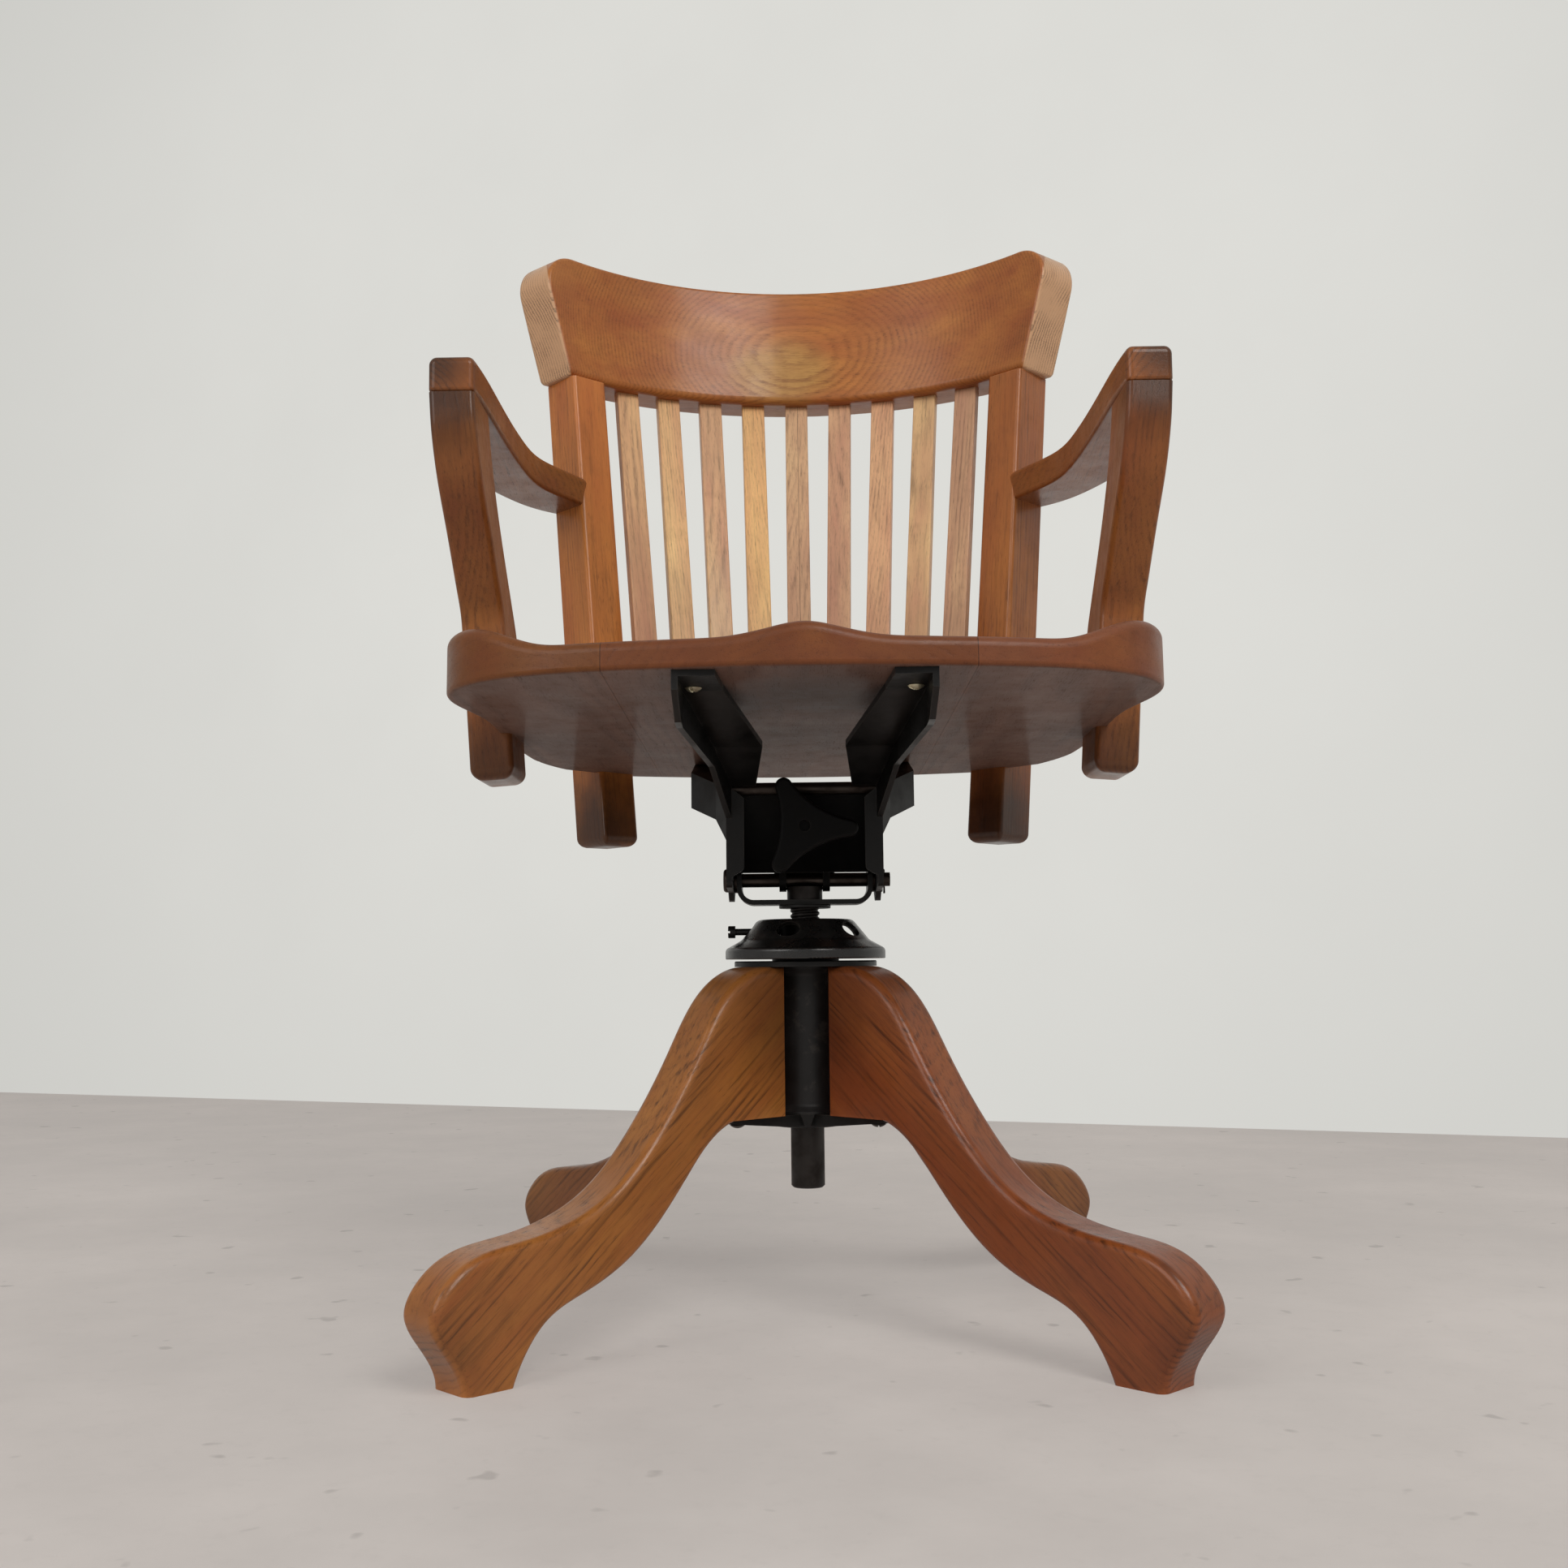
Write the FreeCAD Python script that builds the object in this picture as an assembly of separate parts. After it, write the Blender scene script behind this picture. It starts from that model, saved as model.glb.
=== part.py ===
"""Oak bankers swivel chair with a cast and pressed iron tilt-and-swivel mechanism.

Sizes are in millimetres. +Z is up, the chair faces -Y, and +X is on the right of someone who looks
at its front. The origin is on the floor in the middle of the chair's footprint. Everything is
modelled about the upright spindle, which stands SPINDLE_SETBACK in front of that origin.
"""
import FreeCAD, Part
import os
from math import asin, atan, cos, exp, hypot, pi, radians, sin, sqrt, tan

V = FreeCAD.Vector
ROOT2 = sqrt(2.0)

# Whole chair
SPINDLE_SETBACK = 69.0      # the back overhangs the base, so the spindle is in front of the middle
SHAFT_CLEAR = 0.05          # radial clearance of every turning or sliding round fit

# Base: iron hub
HUB_R = 24.0                # outside of the hub tube
HUB_BORE_R = 19.0
HUB_FOOT_Z = 140.0          # underside of the legs at the hub, where the lower cross bears
HUB_TOP_Z = 242.0           # top of the legs at the hub
HUB_FLARE = 4.0             # the tube spreads by this much at both ends
FLANGE_R = 51.0
FLANGE_T = 4.0
FLANGE_HOLE_R = 13.0
CROSS_REACH = 84.0
CROSS_T = 10.0              # thickness at the hub
CROSS_TIP_T = 3.0
CROSS_ROOT_W = 32.0
CROSS_TIP_W = 18.0
CROSS_SPIGOT = 10.0
FLANGE_SCREW_AT = 38.0      # distance of the flange's screws from the spindle
CROSS_SCREW_AT = 68.0

# Base: oak legs
LEG_NAMES = ("leg_front_left", "leg_front_right", "leg_rear_right", "leg_rear_left")
LEG_AZIMUTHS = (225.0, 315.0, 45.0, 135.0)      # direction of each leg, in degrees from +X
LEG_REACH = 319.0           # spindle to the outermost point of a foot
LEG_T = 36.0
LEG_GAP = 31.0              # free width between two neighbouring legs, where the tube shows
LEG_TOP_EDGE_R = 6.0
LEG_LOWER_EDGE_R = 3.5

# Leg seen from its side. Top and toe: shares of the reach and of the hub's top height.
LEG_TOP_CURVE = ((0.157, 1.0), (0.219, 0.985), (0.276, 0.938), (0.370, 0.769), (0.470, 0.583),
                 (0.605, 0.417), (0.705, 0.362), (0.809, 0.337), (0.909, 0.314), (0.975, 0.256),
                 (1.0, 0.190), (0.966, 0.099), (0.931, 0.0))
# Underside: shares of the reach and of the height of the legs' underside at the hub.
LEG_LOWER_CURVE = ((0.824, 0.0), (0.799, 0.114), (0.746, 0.246), (0.652, 0.336), (0.549, 0.446),
                   (0.467, 0.600), (0.395, 0.779), (0.351, 0.886), (0.304, 0.964), (0.263, 1.0))

# Wood screws
SCREW_R = 2.6
SCREW_HEAD_R = 5.0
SCREW_HEAD_H = 3.2

# Height adjuster on top of the hub
WASHER_T = 2.0
WASHER_R = 24.0
NUT_R = 23.0
NUT_H = 14.0
NUT_NECK_R = 18.0           # the set screw is threaded into this neck
NUT_COLLAR_DROP = 2.0       # the nut's lower collar reaches into the flange by this much
CAP_RIM_R = 57.4
CAP_RIM_Z = 247.4
CAP_TOP_Z = 275.5
CAP_TOP_R = 34.0
CAP_FLANK_R = 46.0          # foot of the sloping flank, where the brim begins
CAP_FLANK_Z = 260.8
CAP_BRIM_Z = 254.5          # upper outer edge of the brim
CAP_WALL = 3.0
CAP_HOLE_GAP = 0.8          # free width between the cap and the spindle
CAP_WINDOWS = 5             # the first is on the -X side, and the set screw passes through it
CAP_WINDOW_LONG = 8.5       # half length of an oval window, round the dome
CAP_WINDOW_SHORT = 6.5
CAP_WINDOW_DEPTH = 20.0
SET_SCREW_R = 2.4
SET_SCREW_END = 55.5        # spindle to the outer end of the slotted head
SET_SCREW_HEAD_R = 4.4
SET_SCREW_HEAD_L = 5.2
SET_SCREW_SLOT = 1.5        # width and depth of the slot
SET_SCREW_Z = 267.0
SET_SCREW_TIP_GAP = 0.3     # the point stops just short of the spindle

# Spindle
SLEEVE_R = 11.9             # plain lower end, which the lower cross guides
SLEEVE_TOP_Z = 156.0
SPINDLE_END_Z = 87.0
SPINDLE_R = 10.5            # screw
SPINDLE_HEAD_R = 12.7
SPINDLE_HEAD_TOP = 313.0    # behind the pivot rod; in front of it the head is cut down
COLLAR_R = 18.6
COLLAR_T = 2.5

# Yoke and pivot
STRAP_Z = 286.0             # underside of the U strap
STRAP_T = 3.5
STRAP_HALF = 48.5           # spindle to the strap's outer side
STRAP_W = 28.0
STRAP_CORNER = 12.0
PIVOT_Z = 304.0
PIVOT_R = 5.0
PIVOT_HEAD_R = 8.5
PIVOT_HEAD_T = 4.0
PIVOT_WASHER_R = 9.0
PIVOT_WASHER_T = 1.5        # outer washer, under the split pin
PIVOT_END_L = 5.5           # rod's end beyond that washer
POST_W = 44.0               # spring post
POST_T = 10.0
POST_FRONT_Y = 8.0
POST_TOP_Z = 354.0
POST_TOP_R = 14.0
POST_EYE_R = 8.0
POST_EYE_W = 5.0
POST_HEAD_GAP = 0.5         # beside and above the spindle's head
POST_TAIL_HALF = 10.0       # the tail behind the head keeps the post upright
COTTER_R = 1.3
COTTER_L = 17.0

# Pressed side brackets
PLATE_T = 4.0
BOX_HALF = 54.5             # spindle to the outer side of a bracket at the pivot
BOX_FRONT = 50.0
BOX_REAR = 50.0
BOX_TOP_Z = 375.0
BOX_FRONT_FOOT_Z = 297.0
LUG_R = 13.0
LIP_W = 12.5
LIP_T = 3.0
FRONT_PAD_Y = -232.0
FRONT_PAD_L = 47.0
FRONT_PAD_OUT = 79.0
FRONT_PAD_IN = 53.0
REAR_PAD_Y = 200.0
REAR_PAD_L = 46.0
REAR_PAD_OUT = 88.0
REAR_PAD_IN = 60.0
FRONT_SCREW_AT = (68.0, -196.0)
REAR_SCREWS_AT = ((74.0, 166.0), (74.0, 188.0))
BRACKET_SCREW_L = 16.0

# Tilt tension
CROSS_ROD_Y = -41.0
CROSS_ROD_Z = 366.0
CROSS_ROD_R = 4.5
SPRING_Z = 338.0            # axis of the spring, the bolt and the knob
PRESS_PLATE_T = 4.0
PRESS_PLATE_DISH = 7.0      # from its upper edge, behind the rod, to its deepest line
PRESS_PLATE_FOOT_Z = 307.5
PRESS_PLATE_GAP = 0.5       # beside the plate, to each side bracket
BOLT_R = 4.0
BOLT_FRONT_Y = -61.0
BOLT_HEAD_R = 8.0
BOLT_HEAD_T = 6.0
BOLT_WASHER_R = 11.0
BOLT_WASHER_T = 2.5
BOLT_SLOT_GAP = 0.7         # beside the bolt, in the spring post's slot
BOLT_SLOT_DOWN = 4.8        # the bolt's way down and up in the slot as the seat tilts
BOLT_SLOT_UP = 0.8
SPRING_WIRE = 4.0
SPRING_MEAN_R = 12.5
SPRING_END_TURNS = 0.75     # closer turns at each end
SPRING_END_PITCH = 4.7
SPRING_BODY_TURNS = 3
SPRING_SEAT_GAP = 0.2
KNOB_LOBES = 3
KNOB_TURN = 117.0           # direction of the first lobe, in degrees from +X
KNOB_TIP_R = 6.0
KNOB_TIP_AT = 31.0
KNOB_VALLEY = 16.5
KNOB_T = 10.0
KNOB_HUB_R = 9.0
KNOB_PROUD = 4.0            # the knob's face stands in front of the bolt's end
KNOB_HUB_GAP = 0.3          # between the hub's end and the pressure plate

# Seat
SEAT_Z = 411.5              # underside, straight above the spindle
SEAT_SLOPE = 1.33           # degrees, falling to the back
SEAT_RIM = 38.0             # thickness at the rim
SEAT_HALF = 230.0           # half width at the front corners
SEAT_NIP = 9.0              # the sides are narrower by this much beside the arm posts
SEAT_FRONT = 242.0
SEAT_REAR = 240.0
SEAT_DISH = 17.5
POMMEL_RISE = 9.0
SEAT_EDGE_R = 7.0
SEAT_LOWER_EDGE_R = 3.0
BOARD_JOINTS = (-121.0, 102.0)

# Back posts
BACK_LEAN = 0.14            # run to the back per unit of height
BACK_POST_SPLAY = 0.085     # run outwards per unit of height
BACK_POST_A = 35.0          # width across the front face
BACK_POST_B = 44.0
BACK_POST_TURN = 42.0       # degrees that the front face turns towards the middle
BACK_POST_INSET = 60.0      # seat's half width to the post's front corner, at the seat's underside
BACK_POST_Y = 186.0         # spindle to the same corner, to the back
BACK_POST_HOUSING = 11.0    # depth of the seat's corner cut behind the front corner
BACK_POST_FOOT_Z = 344.0
BACK_POST_FOOT_R = 8.0
POST_EDGE_R = 3.5
TENON_L = 18.0
TENON_W = 16.0
TENON_T = 14.0

# Crest rail
CREST_R = 287.0             # radius of the front face
CREST_T = 43.0
CREST_Z = 774.0
CREST_TOP_Z = 890.0
CREST_OVERHANG = 2.2        # back post's front corner to the front face's lower end corner
CREST_FLARE = 26.0          # the front face's upper end corner lies further out by this much
CREST_EAR_R = 31.0
CREST_EDGE_R = 3.0
CREST_LOWER_EDGE_R = 6.0

# Slats
SLAT_COUNT = 9
SLAT_W = 21.0
SLAT_T = 9.0
SLAT_EDGE_R = 1.2
SLAT_TOP_INSET = 44.0       # crest rail's lower end corner to the outermost slat
SLAT_FOOT_INSET = 102.0     # seat's half width to the outermost slat
SLAT_HEAD_DEPTH = 16.0      # crest rail's front face to the middle of a slat
SLAT_FOOT_R = 328.0         # radius of the row of feet
SLAT_FOOT_SETBACK = 17.0    # seat's back edge to the middle slat
SLAT_TENON = 12.0

# Arms and arm posts
ARM_Z = 643.0               # underside of an arm at its front end
ARM_SLOPE = 1.1             # degrees, rising to the back
ARM_T = 26.0
ARM_TOP_EDGE_R = 6.0
ARM_LOWER_EDGE_R = 3.0
ARM_CORNER_R = 5.0          # front corners, seen from above
ARM_POST_W = 32.0
ARM_POST_HOUSING = 10.0     # depth of the post's housing in the seat's edge
ARM_POST_SPLAY = 3.95       # degrees
ARM_POST_FOOT_Z = 377.5
ARM_POST_FOOT_R = 9.0
ARM_POST_DEPTH = 58.0
ARM_POST_FRONT_Y = -14.0    # front face where the post passes the seat
ARM_POST_SWEEP = 70.0       # how far the top stands forward of the foot
ARM_POST_EDGE_R = 4.0
DOWEL_R = 5.0
DOWEL_L = 36.0

# Values that follow from the ones above
LEG_MITRE = LEG_GAP / 2.0
FLANGE_Z = HUB_TOP_Z
FLANGE_TOP_Z = FLANGE_Z + FLANGE_T
NUT_Z = FLANGE_TOP_Z + WASHER_T
BOX_INNER = BOX_HALF - PLATE_T
PRESS_PLATE_Y = CROSS_ROD_Y + CROSS_ROD_R + PRESS_PLATE_DISH
SPRING_FRONT_Y = PRESS_PLATE_Y + PRESS_PLATE_T
SEAT_TAN = tan(radians(SEAT_SLOPE))
SEAT_WAIST = SEAT_HALF - SEAT_NIP
PHI = radians(BACK_POST_TURN)
BACK_POST_AT = (SEAT_HALF - BACK_POST_INSET, BACK_POST_Y)
CREST_FRONT_Y = BACK_POST_Y + BACK_LEAN * (CREST_Z - SEAT_Z)
CREST_HALF = BACK_POST_AT[0] + BACK_POST_SPLAY * (CREST_Z - SEAT_Z) + CREST_OVERHANG
CREST_TOP_HALF = CREST_HALF + CREST_FLARE
CREST_CENTRE_Y = CREST_FRONT_Y - sqrt(CREST_R ** 2 - CREST_HALF ** 2)
SLAT_TOP_HALF = CREST_HALF - SLAT_TOP_INSET
SLAT_FOOT_HALF = SEAT_HALF - SLAT_FOOT_INSET
ARM_TAN = tan(radians(ARM_SLOPE))
ARM_POST_OUT = SEAT_WAIST - ARM_POST_HOUSING + ARM_POST_W
ARM_FRONT_Y = ARM_POST_FRONT_Y - ARM_POST_SWEEP
ARM_OUT = ARM_POST_OUT + tan(radians(ARM_POST_SPLAY)) * (ARM_Z - SEAT_Z)


def seat_underside(y):
    """Height of the seat's underside at a distance y behind the spindle."""
    return SEAT_Z - SEAT_TAN * y


def arm_underside(y):
    """Height of an arm's underside at a distance y behind the spindle."""
    return ARM_Z + ARM_TAN * (y - ARM_FRONT_Y)


def rounded_wire(corners, place):
    """Closed wire through corners (a, b, radius), each placed in space by place(a, b)."""
    edges = []
    count = len(corners)
    stretches = []
    for i in range(count):
        ax, ay, _ = corners[i - 1]
        bx, by, radius = corners[i]
        cx, cy, _ = corners[(i + 1) % count]
        la = hypot(ax - bx, ay - by)
        lc = hypot(cx - bx, cy - by)
        ua = ((ax - bx) / la, (ay - by) / la)
        uc = ((cx - bx) / lc, (cy - by) / lc)
        cosine = ua[0] * uc[0] + ua[1] * uc[1]
        half = asin(sqrt(max(0.0, (1.0 - cosine) / 2.0)))
        if radius <= 0.0:
            stretches.append(((bx, by), None, (bx, by)))
            continue
        setback = radius / tan(half)
        start = (bx + ua[0] * setback, by + ua[1] * setback)
        end = (bx + uc[0] * setback, by + uc[1] * setback)
        mx, my = ua[0] + uc[0], ua[1] + uc[1]
        norm = hypot(mx, my)
        reach = radius / sin(half) - radius
        middle = (bx + mx / norm * reach, by + my / norm * reach)
        stretches.append((start, middle, end))
    for i in range(count):
        start, middle, end = stretches[i]
        if middle is not None:
            edges.append(Part.Arc(place(*start), place(*middle), place(*end)).toShape())
        following = stretches[(i + 1) % count][0]
        if hypot(following[0] - end[0], following[1] - end[1]) > 1e-6:
            edges.append(Part.LineSegment(place(*end), place(*following)).toShape())
    return Part.Wire(edges)


def prism(corners, place, run):
    """Solid from a rounded outline, pushed along the vector run."""
    return Part.Face(rounded_wire(corners, place)).extrude(run)


def turned(corners, axis_at=V(0, 0, 0)):
    """Solid turned about the upright through axis_at from corners (radius, height, rounding)."""
    face = Part.Face(rounded_wire(corners, lambda r, z: V(axis_at.x + r, axis_at.y, z)))
    return face.revolve(axis_at, V(0, 0, 1), 360)


def spline(points):
    """Edge of one smooth curve through points."""
    curve = Part.BSplineCurve()
    curve.interpolate(points)
    return curve.toShape()


def upright_spline(points, direction):
    """Smooth curve through points that starts and ends along an upright direction."""
    curve = Part.BSplineCurve()
    curve.interpolate(Points=points, InitialTangent=direction, FinalTangent=direction)
    return curve.toShape()


def mirrored(shape):
    """The same piece for the other side of the chair."""
    return shape.mirror(V(0, 0, 0), V(1, 0, 0))


def rod(start, end, radius):
    """Round bar between two points."""
    run = end - start
    return Part.makeCylinder(radius, run.Length, start, run)


def screw(head, along, length):
    """Countersunk wood screw whose flat head lies at head and which points along a vector."""
    outline = ((0, 0, 0), (SCREW_HEAD_R, 0, 0), (SCREW_R, -SCREW_HEAD_H, 0),
               (SCREW_R, -length + 2.0 * SCREW_R, 0), (0, -length, 0))
    body = turned(outline)
    body.Placement = FreeCAD.Placement(head, FreeCAD.Rotation(V(0, 0, -1), along))
    return body


def edges_where(shape, test):
    """Edges of a shape whose every point passes a test."""
    chosen = []
    for edge in shape.Edges:
        first, last = edge.ParameterRange
        spots = [edge.valueAt(first + (last - first) * share) for share in (0.02, 0.35, 0.65, 0.98)]
        if all(test(spot) for spot in spots):
            chosen.append(edge)
    return chosen


# Base

def hub_envelope():
    """Outer form of the hub tube, spread at both ends."""
    r = HUB_R
    f = HUB_FLARE
    return turned(((0, HUB_FOOT_Z, 0), (r + f, HUB_FOOT_Z, 0), (r + f, HUB_FOOT_Z + 1.5, 0),
                   (r, HUB_FOOT_Z + 1.5 + f, 3.0), (r, HUB_TOP_Z - 1.5 - f, 3.0),
                   (r + f, HUB_TOP_Z - 1.5, 0), (r + f, HUB_TOP_Z, 0), (0, HUB_TOP_Z, 0)))


def make_leg(envelope):
    """One S-shaped leg along +X, with rounded long edges and a mitred inner end."""
    def place(u, w, height):
        return V(u * LEG_REACH, -LEG_T / 2.0, w * height)
    top = [place(u, w, HUB_TOP_Z) for u, w in LEG_TOP_CURVE]
    lower = [place(u, w, HUB_FOOT_Z) for u, w in LEG_LOWER_CURVE]
    inner_top = V(0, -LEG_T / 2.0, HUB_TOP_Z)
    inner_foot = V(0, -LEG_T / 2.0, HUB_FOOT_Z)
    outline = Part.Wire([Part.LineSegment(inner_top, top[0]).toShape(), spline(top),
                         Part.LineSegment(top[-1], lower[0]).toShape(), spline(lower),
                         Part.LineSegment(lower[-1], inner_foot).toShape(),
                         Part.LineSegment(inner_foot, inner_top).toShape()])
    leg = Part.Face(outline).extrude(V(0, LEG_T, 0))

    def long_edges(shape, upper):
        curved = [e for e in edges_where(shape, lambda p: abs(abs(p.y) - LEG_T / 2.0) < 1e-4)
                  if e.Length > LEG_REACH * 0.5]
        return [e for e in curved if (e.BoundBox.ZMax > HUB_FOOT_Z + 1.0) == upper]

    leg = leg.makeFillet(LEG_TOP_EDGE_R, long_edges(leg, True))
    leg = leg.makeFillet(LEG_LOWER_EDGE_R, long_edges(leg, False))
    tip = LEG_MITRE * ROOT2
    far = 1.2 * LEG_REACH
    side = LEG_T
    arrow = prism(((tip, 0, 0), (tip + side, -side, 0), (far, -side, 0), (far, side, 0),
                   (tip + side, side, 0)), lambda a, b: V(a, b, -1.0), V(0, 0, HUB_TOP_Z + 2.0))
    return leg.common(arrow).cut(envelope)


def around(shape, azimuth):
    """A copy turned about the spindle."""
    copy = shape.copy()
    copy.rotate(V(0, 0, 0), V(0, 0, 1), azimuth)
    return copy


def make_flange():
    """Round plate that is screwed down on top of the four legs."""
    return turned(((FLANGE_HOLE_R, FLANGE_Z, 0), (FLANGE_R, FLANGE_Z, 0),
                   (FLANGE_R, FLANGE_TOP_Z, 1.0), (FLANGE_HOLE_R, FLANGE_TOP_Z, 0)))


def make_cross():
    """Four-armed iron cross under the legs, with a spigot in the tube and a bore for the spindle."""
    bottom = HUB_FOOT_Z - CROSS_T
    core = turned(((0, bottom, 0), (HUB_R, bottom, 2.0), (HUB_R + HUB_FLARE, HUB_FOOT_Z, 0),
                   (HUB_BORE_R, HUB_FOOT_Z, 0), (HUB_BORE_R, HUB_FOOT_Z + CROSS_SPIGOT, 1.0),
                   (0, HUB_FOOT_Z + CROSS_SPIGOT, 0)))
    side = prism(((0, bottom + 1.0, 0), (HUB_R, bottom + 1.0, 0),
                  (CROSS_REACH, HUB_FOOT_Z - CROSS_TIP_T, 0), (CROSS_REACH, HUB_FOOT_Z, 0),
                  (0, HUB_FOOT_Z, 0)),
                 lambda a, b: V(a, -CROSS_ROOT_W / 2.0, b), V(0, CROSS_ROOT_W, 0))
    root = CROSS_ROOT_W / 2.0
    tip = CROSS_TIP_W / 2.0
    plan = prism(((0, -root, 0), (HUB_R, -root, 4.0), (CROSS_REACH, -tip, 4.0),
                  (CROSS_REACH, tip, 4.0), (HUB_R, root, 4.0), (0, root, 0)),
                 lambda a, b: V(a, b, bottom), V(0, 0, CROSS_T))
    arm = side.common(plan)
    cross = core
    for azimuth in LEG_AZIMUTHS:
        cross = cross.fuse(around(arm, azimuth))
    bore = Part.makeCylinder(SLEEVE_R + SHAFT_CLEAR, 60.0, V(0, 0, bottom - 5.0))
    return cross.cut(bore).removeSplitter()


def make_base():
    """Legs, hub tube, flange, cross and their screws."""
    envelope = hub_envelope()
    bore = Part.makeCylinder(HUB_BORE_R, HUB_TOP_Z, V(0, 0, HUB_FOOT_Z - 1.0))
    leg = make_leg(envelope)
    flange = make_flange()
    cross = make_cross()
    flange_screw = screw(V(FLANGE_SCREW_AT, 0, FLANGE_TOP_Z), V(0, 0, -1), 30.0)
    cross_drop = CROSS_T - 1.0 - (CROSS_T - 1.0 - CROSS_TIP_T) * (CROSS_SCREW_AT - HUB_R) / (
        CROSS_REACH - HUB_R)
    cross_screw = screw(V(CROSS_SCREW_AT, 0, HUB_FOOT_Z - cross_drop - 0.4), V(0, 0, 1), 28.0)
    flange_screws = [around(flange_screw, a) for a in LEG_AZIMUTHS]
    cross_screws = [around(cross_screw, a) for a in LEG_AZIMUTHS]
    pieces = {"hub_tube": envelope.cut(bore)}
    leg = leg.cut(flange_screw).cut(cross_screw)
    for name, azimuth in zip(LEG_NAMES, LEG_AZIMUTHS):
        pieces[name] = around(leg, azimuth)
    pieces["hub_flange"] = flange.cut(Part.makeCompound(flange_screws))
    pieces["hub_cross"] = cross.cut(Part.makeCompound(cross_screws))
    pieces["flange_screws"] = Part.makeCompound(flange_screws)
    pieces["cross_screws"] = Part.makeCompound(cross_screws)
    pieces["thrust_washer"] = turned(((FLANGE_HOLE_R + 1.0, FLANGE_TOP_Z, 0),
                                      (WASHER_R, FLANGE_TOP_Z, 0), (WASHER_R, NUT_Z, 0.5),
                                      (FLANGE_HOLE_R + 1.0, NUT_Z, 0)))
    return pieces


# Height adjuster

def make_cap():
    """Domed cast cap with a broad brim and oval windows in its flank."""
    wall = CAP_WALL
    hole = SPINDLE_R + CAP_HOLE_GAP
    dome = turned(((hole, CAP_TOP_Z - wall, 0), (CAP_TOP_R - 0.4 * wall, CAP_TOP_Z - wall, 4.0),
                   (CAP_FLANK_R - wall, CAP_FLANK_Z - 0.8 * wall, 4.0),
                   (CAP_RIM_R - wall, CAP_BRIM_Z - wall, 1.5), (CAP_RIM_R - wall, CAP_RIM_Z, 0),
                   (CAP_RIM_R, CAP_RIM_Z, 0.8), (CAP_RIM_R, CAP_BRIM_Z, 3.5),
                   (CAP_FLANK_R, CAP_FLANK_Z, 7.0), (CAP_TOP_R, CAP_TOP_Z, 6.0), (hole, CAP_TOP_Z, 0.8)))
    slope = atan((CAP_FLANK_R - CAP_TOP_R) / (CAP_TOP_Z - CAP_FLANK_Z))
    window_r = (CAP_TOP_R + CAP_FLANK_R) / 2.0
    window_z = (CAP_TOP_Z + CAP_FLANK_Z) / 2.0
    for i in range(CAP_WINDOWS):
        azimuth = pi + 2.0 * pi * i / CAP_WINDOWS
        radial = V(cos(azimuth), sin(azimuth), 0)
        outward = radial * cos(slope) + V(0, 0, sin(slope))
        along = V(-sin(azimuth), cos(azimuth), 0)
        centre = radial * window_r + V(0, 0, window_z) - outward * (CAP_WINDOW_DEPTH / 2.0)
        oval = Part.Ellipse(centre + along * CAP_WINDOW_LONG,
                            centre + outward.cross(along) * CAP_WINDOW_SHORT, centre)
        dome = dome.cut(Part.Face(Part.Wire([oval.toShape()])).extrude(outward * CAP_WINDOW_DEPTH))
    return dome


def make_set_screw():
    """Long slotted screw that points at the spindle from the -X side."""
    head_x = -SET_SCREW_END + SET_SCREW_HEAD_L
    shank = rod(V(-SPINDLE_R - SET_SCREW_TIP_GAP, 0, SET_SCREW_Z), V(head_x - 1.0, 0, SET_SCREW_Z),
                SET_SCREW_R)
    head = rod(V(head_x, 0, SET_SCREW_Z), V(-SET_SCREW_END, 0, SET_SCREW_Z), SET_SCREW_HEAD_R)
    head = head.makeFillet(0.6, edges_where(head, lambda p: abs(p.x + SET_SCREW_END) < 1e-4))
    slot = Part.makeBox(SET_SCREW_SLOT, 4.0 * SET_SCREW_HEAD_R, SET_SCREW_SLOT,
                        V(-SET_SCREW_END, -2.0 * SET_SCREW_HEAD_R, SET_SCREW_Z - SET_SCREW_SLOT / 2.0))
    return shank.fuse(head).removeSplitter().cut(slot)


def make_adjuster():
    """Cap, nut and set screw."""
    collar_r = FLANGE_HOLE_R - SHAFT_CLEAR
    collar_z = FLANGE_TOP_Z - FLANGE_T - NUT_COLLAR_DROP
    shoulder = NUT_Z + NUT_H
    neck_top = CAP_TOP_Z - CAP_WALL
    nut = turned(((0, collar_z, 0), (collar_r, collar_z, 0.5), (collar_r, NUT_Z, 0), (NUT_R, NUT_Z, 0.5),
                  (NUT_R, shoulder, 1.0), (NUT_NECK_R, shoulder, 0), (NUT_NECK_R, neck_top, 0),
                  (0, neck_top, 0)))
    nut = nut.cut(Part.makeCylinder(SPINDLE_R + SHAFT_CLEAR, CAP_TOP_Z - SLEEVE_TOP_Z,
                                    V(0, 0, SLEEVE_TOP_Z)))
    tapped = rod(V(0, 0, SET_SCREW_Z), V(-NUT_R, 0, SET_SCREW_Z), SET_SCREW_R + SHAFT_CLEAR)
    return {"adjuster_cap": make_cap(), "adjuster_nut": nut.cut(tapped), "set_screw": make_set_screw()}


# Spindle, yoke and spring post

def cross_bore(radius, half):
    """Round cutter along X at the tilt pivot."""
    return rod(V(-half, 0, PIVOT_Z), V(half, 0, PIVOT_Z), radius)


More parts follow.
